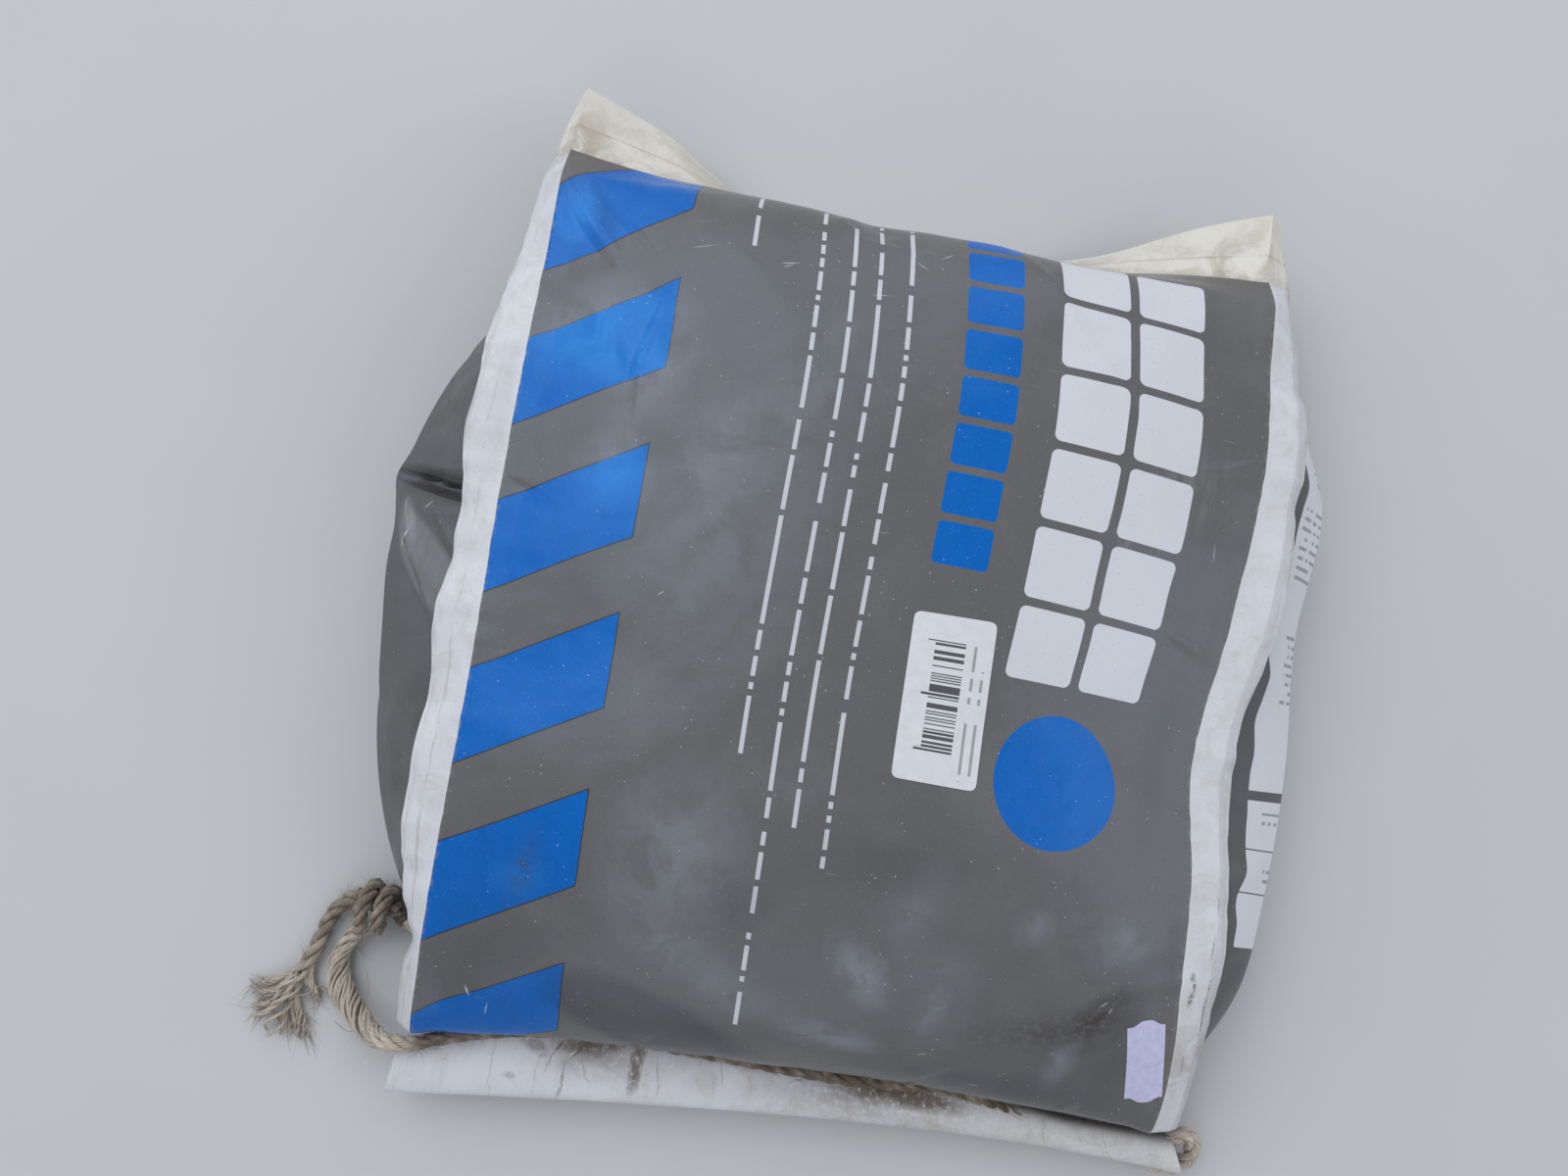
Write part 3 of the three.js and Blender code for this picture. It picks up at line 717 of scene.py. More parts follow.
class Tubes:
    """Collects tubes of one mesh: points, faces and the places of a map that runs along each tube."""

    def __init__(self):
        self.points, self.faces, self.places, self.total = [], [], [], 0

    def add(self, line, radius, sides, shift=0.0, lobes=0.0, lobe_turn=0.0):
        """A tube along a line. Its map starts at a shift round it, and its lobes show the yarns in it."""
        count = len(line)
        radius = np.broadcast_to(np.asarray(radius, float), (count,))
        _, a, b = frames(line)
        far = np.concatenate([[0], np.cumsum(np.linalg.norm(np.diff(line, axis=0), axis=1))])
        angle = np.linspace(0, 2 * math.pi, sides, endpoint=False)
        yarns_turn = 2.5 * angle + (far * lobe_turn / 2)[:, None]
        wide = radius[:, None] * (1 + lobes * (2 * np.abs(np.cos(yarns_turn)) - 1.2))
        ring = (
            line[:, None]
            + a[:, None] * (wide * np.cos(angle))[..., None]
            + b[:, None] * (wide * np.sin(angle))[..., None]
        )
        start = self.total
        self.points.append(ring.reshape(-1, 3))
        for row in range(count - 1):
            for i in range(sides):
                j = (i + 1) % sides
                low, high = start + row * sides, start + (row + 1) * sides
                self.faces.append([low + i, low + j, high + j, high + i])
                near, next_ = i / sides + shift, (i + 1) / sides + shift
                here, on = far[row], far[row + 1]
                self.places.append([(here, near), (here, next_), (on, next_), (on, near)])
        last = start + (count - 1) * sides
        for ring_start, flip in ((start, True), (last, False)):
            corners = [ring_start + i for i in range(sides)]
            self.faces.append(corners[::-1] if flip else corners)
            self.places.append([(0.0, shift)] * sides)
        self.total += count * sides

    def piece(self, name):
        made = new_piece(name, np.concatenate(self.points), self.faces)
        add_map(made, "lay", self.places)
        select_only(made)
        bpy.ops.object.shade_smooth_by_angle(angle=math.radians(60))
        return made


def strands(tubes, line, places, diameter, lay, spread=1.0, turn=0.0, sides=20, thin=1.0):
    """Lays three strands round a line, as in a twisted rope."""
    _, a, b = frames(line)
    strand = 0.232 * diameter * np.broadcast_to(np.asarray(thin, float), (len(line),))
    wide = (diameter / 2 - strand) * np.broadcast_to(spread, (len(line),))
    for k in range(3):
        angle = 2 * math.pi * (places / lay + k / 3) + turn
        centre = line + a * (wide * np.cos(angle))[:, None] + b * (wide * np.sin(angle))[:, None]
        tubes.add(centre, strand * (0.94 + 0.1 * np.sin(places / 3.1 + 2 * k)), sides, k * 1.7, 0.11, 1.5)


def hairs(tubes, line, diameter, count, seed, long, lift):
    """Loose fibres that stand off a rope."""
    draw = np.random.default_rng(seed)
    tangent, a, b = frames(line)
    for _ in range(count):
        k = int(draw.integers(0, len(line)))
        angle = draw.uniform(0, 2 * math.pi)
        out = a[k] * math.cos(angle) + b[k] * math.sin(angle)
        way = tangent[k] * draw.choice([-1, 1]) * draw.uniform(0.5, 1.2) + out * draw.uniform(0.1, lift)
        way /= np.linalg.norm(way)
        curl = np.cross(way, draw.normal(size=3)) * draw.uniform(0.2, 0.7)
        length = draw.uniform(*long)
        s = np.linspace(0, 1, 5)[:, None]
        hair = line[k] + out * diameter * 0.42 + length * (way * s + curl * s**2)
        hair[:, 2] = np.maximum(hair[:, 2], 0.15)
        tubes.add(hair, 0.075 * (1.15 - s[:, 0]), 3, draw.uniform(0, 5))


def rope_pieces(diameter, lay):
    """The rope in its hem, the knot beside the sack, the tail, its frayed end and the loose fibres.

    Also the middle lines of the rope and of the tail.
    """
    tubes = Tubes()
    line, places = route(ROPE_ROUTE)
    # the strands part where the rope bends loosely beside the sack, and are pressed where it enters the hem
    bulge = np.exp(-(((places - 27) / 11) ** 2))
    pressed = smoothstep(places, 58, 72) * (1 - smoothstep(places, 312, 326))
    spread = 1 + 0.7 * bulge - 0.4 * pressed
    strands(tubes, line, places, diameter, lay, spread, turn=0.6, thin=1 - 0.08 * pressed - 0.06 * bulge)
    loose_yarns(tubes, line, places, diameter, low=6, high=54, count=20)
    rope = tubes.piece("rope_handle_strands")
    tubes = Tubes()
    knot_line, knot_places = route(KNOT_ROUTE)
    strands(tubes, knot_line, knot_places, diameter * 0.96, lay * 0.85, turn=1.1)
    core_line, core_places = route(KNOT_CORE)
    strands(tubes, core_line, core_places, diameter * 0.9, lay, turn=0.2)
    knot = tubes.piece("rope_knot_strands")
    tubes = Tubes()
    tail_line, tail_places = route(TAIL_ROUTE)
    end = tail_places[-1]
    loose = smoothstep(tail_places, end * 0.5, end * 0.74)
    spread = 1 + 0.35 * loose
    strands(tubes, tail_line, tail_places, diameter * 0.95, lay, spread, turn=2.4, thin=1 - 0.62 * loose)
    tail = tubes.piece("rope_tail_strands")
    tubes = Tubes()
    frayed_yarns(tubes, tail_line, tail_places, diameter, start=end * 0.6, seed=17, bundles=11)
    fray = tubes.piece("rope_tail_fray")
    tubes = Tubes()
    crease, right_end = (places > 60) & (places < 330), (places > 315) & (places < 350)
    # how many fibres stand off each stretch, their seed, their lengths, and how far they lift
    for stretch, count, seed, long, lift in (
        (line[places < 75], 190, 31, (2.5, 7.0), 0.55), (line[crease], 260, 32, (1.5, 4.5), 0.55),
        (line[right_end], 60, 33, (1.5, 4.0), 0.55), (knot_line, 260, 34, (2.0, 6.0), 0.8),
        (tail_line[tail_places < end * 0.6], 110, 35, (2.5, 7.0), 0.55),
    ):
        hairs(tubes, stretch, diameter, count, seed, long, lift)
    for loop in STRAY_YARNS:
        stray, stray_places = route(loop, 0.8)
        tubes.add(stray, 0.16 + 0.03 * np.sin(stray_places), 5)
    fibres = tubes.piece("rope_loose_fibres")
    return (rope, knot, tail, fray, fibres), line, tail_line


def loose_yarns(tubes, line, places, diameter, low, high, count):
    """Yarns that have come out of their strands and wind slowly round a loose stretch of the rope."""
    draw = np.random.default_rng(91)
    _, a, b = frames(line)
    for k in range(count):
        start, end = low + draw.uniform(-5, 8), high - draw.uniform(-4, 9)
        some = (places >= start) & (places <= end)
        share = (places[some] - start) / (end - start)
        angle = 2 * math.pi * (k / count + places[some] / 38) + 0.4 * np.sin(places[some] / 6 + k)
        out = diameter * (0.3 + 0.36 * np.sin(math.pi * share) ** 0.8)
        out = out + 0.25 * np.sin(places[some] / 4 + 2.2 * k)
        yarn = line[some] + a[some] * (out * np.cos(angle))[:, None]
        yarn = yarn + b[some] * (out * np.sin(angle))[:, None]
        yarn[:, 2] = np.maximum(yarn[:, 2], 0.7)
        tubes.add(yarn, draw.uniform(0.4, 0.58), 8, draw.uniform(0, 5), 0.1, 2.6)


def frayed_yarns(tubes, line, places, diameter, start, seed, bundles):
    """The frayed end: bundles of four yarns that leave the tail, fan out over the floor and open."""
    draw = np.random.default_rng(seed)
    tangent, a, b = frames(line)
    s = np.linspace(0, 1, 19)[:, None]
    for bundle in range(bundles):
        from_ = int(np.searchsorted(places, start + draw.uniform(-6, 5)))
        angle = draw.uniform(0, 2 * math.pi)
        root = line[from_] + (a[from_] * math.cos(angle) + b[from_] * math.sin(angle)) * diameter * 0.24
        aim = math.radians(FRAY_AIM + (bundle / (bundles - 1) - 0.5) * FRAY_SPREAD + draw.normal() * 7)
        length = draw.uniform(11, 19)
        way = np.array([math.cos(aim), math.sin(aim), -0.1])
        side = np.array([-math.sin(aim), math.cos(aim), 0])
        bend = side * draw.normal() * 0.22 * length
        middle = root + tangent[from_] * 7 * s * (1 - s) + length * way * s + bend * s**2
        sway = np.sin(s * draw.uniform(5, 9) + draw.uniform(0, 6)) * draw.uniform(0.3, 1.0)
        middle = middle + side * sway * s
        lifted = middle[:, 2] + 1.2 * np.sin(3 * s[:, 0] + bundle) * s[:, 0]
        middle[:, 2] = np.maximum(lifted, 0.9 + 0.4 * (bundle % 3))
        for k in range(4):
            turn = 2 * math.pi * (k / 4 + s * length / 11) + bundle
            apart = 0.55 + 1.5 * s**4 * draw.uniform(0.3, 1.3)
            yarn = middle + apart * (side * np.cos(turn) + np.array([0, 0, 1]) * np.sin(turn))
            yarn[:, 2] = np.maximum(yarn[:, 2], 0.4)
            radius = draw.uniform(0.42, 0.6) * (1.05 - 0.45 * s[:, 0] ** 3)
            tubes.add(yarn, radius, 6, draw.uniform(0, 5), 0.12, 2.2)
            for _ in range(7):
                begin = yarn[int(draw.integers(8, 19))]
                w = np.linspace(0, 1, 5)[:, None]
                wisp_way = way + draw.normal(size=3) * [0.5, 0.5, 0.15]
                long = draw.uniform(2, 5.5)
                wisp = begin + long * (wisp_way * w + draw.normal(size=3) * [0.4, 0.4, 0.05] * w**2)
                wisp[:, 2] = np.maximum(wisp[:, 2], 0.2)
                tubes.add(wisp, 0.11 * (1.2 - w[:, 0]), 3, draw.uniform(0, 5))


# Materials


class Wire:
    """A number, place or colour that runs between shader nodes, with the usual arithmetic on numbers."""

    def __init__(self, finish, socket):
        self.finish, self.socket = finish, socket

    def calc(self, operation, *values):
        return self.finish.node("Math", {"operation": operation}, dict(enumerate(values)))

    def __add__(self, other):
        return self.calc("ADD", self, other)

    __radd__ = __add__

    def __sub__(self, other):
        return self.calc("SUBTRACT", self, other)

    def __rsub__(self, other):
        return self.calc("SUBTRACT", other, self)

    def __mul__(self, other):
        return self.calc("MULTIPLY", self, other)

    __rmul__ = __mul__

    def __truediv__(self, other):
        return self.calc("DIVIDE", self, other)

    def __pow__(self, other):
        return self.calc("POWER", self, other)

    def __mod__(self, other):
        return self.calc("FLOORED_MODULO", self, other)

    def __gt__(self, other):
        return self.calc("GREATER_THAN", self, other)

    def __lt__(self, other):
        return self.calc("LESS_THAN", self, other)

    def __abs__(self):
        return self.calc("ABSOLUTE", self)

    def floor(self):
        return self.calc("FLOOR", self)

    def larger(self, other):
        """The larger of two numbers."""
        return self.calc("MAXIMUM", self, other)

    def smaller(self, other):
        """The smaller of two numbers."""
        return self.calc("MINIMUM", self, other)

    def limit(self):
        """The number, held between 0 and 1."""
        return self.finish.node("Clamp", {}, {"Value": self})

    def ramp(self, low, high):
        """0 up to low, 1 from high, and smooth in between. The other way round where low is higher."""
        settings = {"interpolation_type": "SMOOTHSTEP"}
        return self.finish.node("MapRange", settings, {"Value": self, "From Min": low, "From Max": high})

    def within(self, low, high):
        """1 between low and high, 0 outside them."""
        return (self > low) * (self < high)


class Finish:
    """Builds the nodes of one material."""

    def __init__(self, name):
        self.material = bpy.data.materials.new(name)
        self.material.use_nodes = True
        self.tree = self.material.node_tree
        self.tree.nodes.clear()

    def node(self, kind, settings, values, result=0):
        made = self.tree.nodes.new("ShaderNode" + kind)
        for key, value in settings.items():
            setattr(made, key, value)
        for key, value in values.items():
            socket = made.inputs[key]
            if isinstance(value, Wire):
                self.tree.links.new(value.socket, socket)
            else:
                socket.default_value = value
        return Wire(self, made.outputs[result])

    def place(self, name):
        """A UV map of the piece, as a place."""
        return self.node("UVMap", {"uv_map": name}, {})

    def value(self, name):
        """A number stored at the points of the piece."""
        return self.node("Attribute", {"attribute_name": name}, {}, "Fac")

    def parts(self, place):
        """The first two numbers of a place."""
        split = self.node("SeparateXYZ", {}, {"Vector": place})
        return split, Wire(self, split.socket.node.outputs[1])

    def flat(self, x, y):
        """A place from its first two numbers."""
        return self.node("CombineXYZ", {}, {0: x, 1: y})

    def scaled(self, place, scale, shift=(0, 0, 0), turn=0.0):
        """A place stretched, shifted and turned, for a pattern that lies along one way."""
        values = {"Vector": place, "Scale": scale, "Location": shift, "Rotation": (0, 0, math.radians(turn))}
        return self.node("Mapping", {}, values)

    def cloud(self, place, scale, detail=2.0, rough=0.5, warp=0.0):
        """Soft noise of about 0.5, finer with a larger scale."""
        values = {"Vector": place, "Scale": scale, "Detail": detail, "Roughness": rough, "Distortion": warp}
        return self.node("TexNoise", {}, values)

    def chance(self, cell, row=None):
        """A random number from 0 to 1 for each cell, or for each cell of each row."""
        if row is None:
            return self.node("TexWhiteNoise", {"noise_dimensions": "1D"}, {"W": cell})
        return self.node("TexWhiteNoise", {"noise_dimensions": "2D"}, {"Vector": self.flat(cell, row)})

    def spots(self, place, scale, size, warp=1.0):
        """Small scattered specks: 1 inside them."""
        values = {"Vector": place, "Scale": scale, "Randomness": warp}
        return self.node("TexVoronoi", {}, values).ramp(size, size * 0.55)

    def mix(self, mask, under, over):
        """The colour over where the mask is 1, and the colour under where it is 0."""
        return self.node("Mix", {"data_type": "RGBA"}, {"Factor": mask, 6: under, 7: over}, 2)

    def bump(self, height, distance, strength=1.0, normal=None):
        values = {"Height": height, "Distance": distance, "Strength": strength}
        if normal is not None:
            values["Normal"] = normal
        return self.node("Bump", {}, values)

    def surface(self, colour, rough, bump=None, fixed=None):
        """The finished material. The values in fixed are the same all over it."""
        values = {"Base Color": colour, "Roughness": rough, **(fixed or {})}
        if bump is not None:
            values["Normal"] = bump
        shader = self.node("BsdfPrincipled", {}, values)
        end = self.tree.nodes.new("ShaderNodeOutputMaterial")
        self.tree.links.new(shader.socket, end.inputs["Surface"])
        return self.material


def tone(red, green, blue):
    """A colour from its screen values, 0 to 255."""
    linear = [c / 3294.6 if c <= 10 else ((c / 255 + 0.055) / 1.055) ** 2.4 for c in (red, green, blue)]
    return (*linear, 1.0)


def darker(colour, share):
    """A colour with a share of its light."""
    return tuple(c * share for c in colour[:3]) + (1.0,)


SKY_TINTED_SHINE = {"IOR": 1.44, "Specular Tint": (0.45, 0.66, 0.95, 1.0)}  # its reflections are tinted blue, a painted sky colour
PLAIN_SHINE = {"IOR": 1.46}
DUST, SCRATCHED, SPECK, MUD = tone(206, 204, 200), tone(206, 208, 212), tone(38, 36, 36), tone(122, 110, 94)


def rounded(finish, x, y, half_x, half_y, radius):
    """1 inside a rectangle with round corners, about the place where x and y are 0."""
    past_x = (abs(x) - (half_x - radius)).larger(0.0)
    past_y = (abs(y) - (half_y - radius)).larger(0.0)
    far = (past_x * past_x + past_y * past_y) ** 0.5 - radius
    return far.ramp(0.08, -0.08)


def stroke(place, at, turn, long, wide, crisp=0.4, height=1.0):
    """A short straight mark that tapers to both ends: its middle, direction in degrees and size."""
    finish = place.finish
    settings, spot = {"vector_type": "TEXTURE"}, (*at, 0.0)
    size, rotation = (long / 2, wide / 2, 1), (0, 0, math.radians(turn))
    values = {"Vector": place, "Location": spot, "Rotation": rotation, "Scale": size}
    far = finish.node("VectorMath", {"operation": "LENGTH"}, {0: finish.node("Mapping", settings, values)}, 1)
    return finish.node("MapRange", {}, {"Value": far, "From Min": 1.0, "From Max": crisp, "To Max": height})


# Single scratches on the panel and on the left gusset: place, direction, length, width, and strength if not 1
SCRATCHES = [
    ((-37.8, 266.4), 16, 7, 0.8), ((-38.5, 265), 30, 4, 0.5), ((11.8, 278.4), 40, 6, 0.5),
    ((4, 272.6), -35, 5, 0.4), ((87.5, 236.1), 75, 5, 0.6), ((-101.3, 27.7), -65, 4.5, 1.0),
    ((-94.6, 21.6), 85, 6, 0.5), ((93, 49.1), 30, 3.6, 0.5), ((95.4, 47), 62, 2.6, 0.5),
    ((-66, 267.6), 12, 9, 0.3), ((40, 30.6), 20, 4, 0.4), ((-8, 258.6), 8, 8, 0.35),
    ((106, 200.6), 100, 7, 0.4), ((-60, 156.6), 40, 3, 0.5), ((58, 16.6), -10, 5, 0.4),
]
GUSSET_SCRATCHES = [
    ((36, 166), 118, 6, 1.3), ((34.5, 168), 112, 5, 0.8), ((25, 178), 130, 4.5, 0.7, 0.7),
    ((37, 177), 100, 7, 0.7, 0.35),
]
# Fine creases on the left gusset: from, to, reach to each side, height
GUSSET_CREASES = [
    ((46, 187.5), (0, 181), 3.0, -2.6), ((46, 191.5), (4, 190), 3.4, 1.2), ((40, 176), (14, 139), 2.2, 0.7),
    ((26, 182), (2, 150), 2.4, 0.6), ((44, 226), (10, 196), 2.6, -0.6), ((16, 150), (2, 128), 2.4, -0.6),
]
# Dark rubs on the right fin, by place across it and along it
FIN_MARKS = [
    ((3.4, 59), 80, 4.5, 2.0, 0.6), ((4.4, 56), 97, 6, 1.5, 0.7), ((3.8, 51.5), 80, 6, 2.4, 0.75),
    ((9.4, 56.5), 90, 6, 1.0, 0.7), ((9.3, 47), 90, 17, 1.1, 0.7), ((8.6, 70), 86, 12, 0.8, 0.5),
    ((9.4, 86), 94, 10, 0.8, 0.4), ((5, 31), 100, 8, 1.4, 0.4),
]
# Painted sheen (soft lighter places) and painted shade (soft dark places) on the panel: place, direction,
# length, width, strength
PAINTED_SHEEN_PATCHES = [
    ((-45, 170), 70, 130, 70, 0.35), ((-22, 230), 60, 60, 50, 0.2), ((17, 58), -48, 34, 18, 0.85),
    ((11, 34), -8, 40, 14, 0.9), ((-44, 82), 75, 66, 56, 0.65), ((82, 32), 85, 32, 13, 0.75),
    ((-30, 50), -20, 70, 22, 0.45), ((40, 47), 75, 22, 11, 0.6), ((67, 74), 20, 17, 14, 0.6),
    ((98, 69), 30, 32, 26, 0.5), ((30, 78), 60, 40, 26, 0.35), ((-75, 222), 70, 60, 30, 0.45),
    ((40, 58), 10, 34, 26, 0.35), ((-90, 66), 10, 24, 16, 0.3), ((-92, 237), 10, 66, 46, 0.9),
    ((-82, 193), 20, 34, 30, 0.7), ((-110, 277), 0, 20, 22, 0.8), ((-12, 108), 30, 30, 20, 0.35),
    ((-52, 200), 60, 70, 40, 0.4),
]
PAINTED_SHADE_PATCHES = [
    ((-20, 72), 30, 40, 20, 0.5), ((10, 92), 10, 60, 24, 0.35), ((30, 88), 10, 50, 22, 0.35),
    ((-101, 277), -62, 26, 9, 0.8), ((-100, 40), 80, 120, 90, 0.7), ((92, 28), 0, 120, 90, 0.4),
    ((56, 19), -6, 110, 19, 0.8), ((100, 28), 80, 40, 20, 0.4), ((104, 130), 84, 90, 14, 0.3),
]
# Painted shadows on the panel with a firmer edge, below its lowest creases
PAINTED_CREASE_SHADOWS = [((-44, 25), -17, 80, 33, 0.8), ((92, 43), 26, 40, 20, 0.35)]
# Brown smears near the small sticker and on a stripe, and a scuffed patch by the squares
SMEARS = [((92, 45), 38, 28, 15, 1.0), ((74, 41), 4, 60, 16, 0.65)]
STRIPE_SMEARS = [((-88.5, 69), 78, 32, 13, 0.8)]
SCUFFS = [((84, 206), 52, 80, 30, 1.0)]
# Creases too fine for the mesh: from, to, reach to each side, height
FINE_CREASES = [
    ((-115, 285.6), (-93, 259.6), 3.2, 1.0), ((-108, 288.6), (-82, 264.6), 2.0, -0.5),
    ((-88, 242.6), (-80, 210.6), 3.4, -0.8), ((-77, 246.6), (-82, 222.6), 2.2, 0.5),
    ((-22, 292.6), (-19, 280.6), 3.0, 0.8), ((-19, 280.6), (14, 276.6), 2.6, 0.6),
    ((-4, 288.6), (6, 266.6), 2.4, -0.35), ((-118, 185.6), (-98, 178.6), 2.6, -0.5),
    ((30, 298.6), (52, 264.6), 3.0, 0.5), ((118, 232.6), (92, 222.6), 2.6, -0.5),
    ((-50, 0.6), (-40, 22.6), 2.6, -0.4), ((36, 0.6), (46, 20.6), 2.6, -0.4),
    ((84, 2.6), (96, 22.6), 2.8, 0.4), ((118, 166.6), (98, 172.6), 2.6, -0.4),
]


def creases(place, marks):
    """The height of fine creases, in millimetres."""
    height = 0.0
    for start, end, reach, rise in marks:
        middle = (start[0] + end[0]) / 2, (start[1] + end[1]) / 2
        turn = math.degrees(math.atan2(end[1] - start[1], end[0] - start[0]))
        height = height + stroke(place, middle, turn, math.dist(start, end) * 1.2, reach * 2, 0.0, rise)
    return height


def all_strokes(place, marks, crisp=0.4):
    """A table's strokes, added up."""
    total = 0.0
    for at, turn, length, width, *strength in marks:
        total = total + stroke(place, at, turn, length, width, crisp, *strength)
    return total


# The plain print: a double row of squares, a row of smaller ones, a disc and broken rules
TILES = {"start": (46.5, 146), "pitch": (24.8, 24.7), "count": (2, 6), "half": (10.9, 11.0), "corner": 2.2}
SMALL_TILES = {"start": (17, 175), "pitch": (20, 15.6), "count": (1, 8), "half": (8.6, 6.6), "corner": 1.6}
DISC_AT, DISC_RADIUS = (70, 118), 20.5
RULES = [(1, 86, 292), (-9, 96, 293), (-17.5, 34, 286), (-28, 114, 294), (-50, 270, 294)]  # across, from, to
RULE_CELL = 1.9  # the length of a rule's shortest dash or gap, also on the sticker


def squares(finish, u, v, start, pitch, count, half, corner):
    """A field of squares with round corners, from its first corner on."""
    end = start[0] + count[0] * pitch[0], start[1] + count[1] * pitch[1]
    x, y = (u - start[0]) % pitch[0] - pitch[0] / 2, (v - start[1]) % pitch[1] - pitch[1] / 2
    return rounded(finish, x, y, *half, corner) * u.within(start[0], end[0]) * v.within(start[1], end[1])


def print_masks(finish, u, v):
    """The print on the panel: blue, white, and the dark line round the stripes, as masks."""
    w = v - (u + PANEL_HALF) * STRIPE_SLOPE + STRIPE_SHIFT
    offset = (w - STRIPE_HEIGHT / 2 + STRIPE_PERIOD / 2) % STRIPE_PERIOD - STRIPE_PERIOD / 2
    inside = (STRIPE_HEIGHT / 2 - abs(offset)) * STRIPE_SQUARE
    inside = inside.smaller(STRIPE_END - u)
    stripe = inside.ramp(-0.06, 0.06)
    line = abs(inside).ramp(0.55, 0.3) * (u < STRIPE_END + 0.5)
    tiles = squares(finish, u, v, **TILES)
    small_tiles = squares(finish, u, v, **SMALL_TILES)
    disc = ((u - DISC_AT[0]) ** 2.0 + (v - DISC_AT[1]) ** 2.0) ** 0.5
    disc = disc.ramp(DISC_RADIUS + 0.1, DISC_RADIUS - 0.1)
    rules = 0.0
    for k, (at, low, high) in enumerate(RULES):
        chance = finish.chance(((v + 7.3 * k) / RULE_CELL).floor(), float(k))
        wide = abs(u - at).ramp(0.8, 0.6)
        rules = rules + wide * v.within(low, high) * (chance > 0.17) * 0.85
    return stripe.larger(disc).larger(small_tiles), tiles.larger(rules), line


def film_wear(finish, place):
    """What all the film has: dust, dark specks, short scratches, dull smudges, and its fine unevenness."""
    dust = finish.spots(place, 0.32, 0.085) * finish.cloud(place, 0.05).ramp(0.42, 0.6)
    fine = finish.spots(finish.scaled(place, (1, 1, 1), (31, 17, 0), 20), 0.75, 0.08) * 0.7
    dark = finish.spots(finish.scaled(place, (1, 1, 1), (7, 41, 0), 70), 0.4, 0.07)
    long = finish.cloud(finish.scaled(place, (0.05, 1.9, 1), turn=33), 1.0, 3.0, 0.6)
    short = finish.cloud(finish.scaled(place, (2.2, 0.14, 1), (9, 4, 0), -18), 1.0, 3.0, 0.6)
    scratch = (long.ramp(0.725, 0.745) + short.ramp(0.735, 0.76)) * finish.cloud(place, 0.021).ramp(0.44, 0.6)
    smudge = finish.cloud(place, 0.028, 5.0, 0.62, 0.6).ramp(0.46, 0.72)
    mottle = finish.cloud(place, 0.9, 5.0, 0.75)
    return (dust + fine).limit(), dark, scratch.limit(), smudge, mottle


def film_grime(finish, place):
    """How dirty the film is, in patches, from the dirt stored at its points."""
    return finish.value("grime") * finish.cloud(place, 0.3, 4.0, 0.65).ramp(0.2, 0.6)


def panel_marks(finish, place, colour, blue_mask, patchy):
    """The front panel's colour with its worn edges, painted sheen and painted shade, smears and scuffs."""
    u, v = finish.parts(place)
    worn = v.ramp(5.0, 0.5) * patchy.ramp(0.4, 0.55) * 0.5
    worn = worn + (PANEL_HALF - abs(u)).ramp(1.6, 0.2) * patchy.ramp(0.46, 0.6) * 0.35
    colour = finish.mix(worn.limit(), colour, tone(158, 150, 140))
    soft = finish.cloud(place, 0.07, 4.0, 0.6, 0.5).ramp(0.34, 0.6)
    # painted sheen: lighter patches, bright cyan on the blue print, standing in for reflections
    painted_sheen = all_strokes(place, PAINTED_SHEEN_PATCHES, 0.0) * (0.12 + soft * 0.36 + blue_mask * 0.2)
    colour = finish.mix(painted_sheen.limit(), colour, finish.mix(blue_mask, tone(164, 170, 184), tone(60, 156, 238)))
    # painted shade: soft dark patches, and firmer painted shadows below the lowest creases
    deep = all_strokes(place, PAINTED_SHADE_PATCHES, 0.0) * 0.34 + all_strokes(place, PAINTED_CREASE_SHADOWS, 0.7) * 0.42
    colour = finish.mix(deep.limit(), colour, tone(24, 26, 34))
    smear = all_strokes(place, SMEARS, 0.0) * patchy.ramp(0.36, 0.56)
    smear = smear + all_strokes(place, STRIPE_SMEARS, 0.0) * patchy.ramp(0.38, 0.66)
    colour = finish.mix((smear * 0.8).limit(), colour, tone(70, 60, 50))
    streaks = finish.cloud(finish.scaled(place, (1, 0.16, 1), turn=-40), 0.3, 4.0).ramp(0.44, 0.62)
    return finish.mix(all_strokes(place, SCUFFS, 0.0) * streaks * 0.16, colour, tone(205, 205, 205))


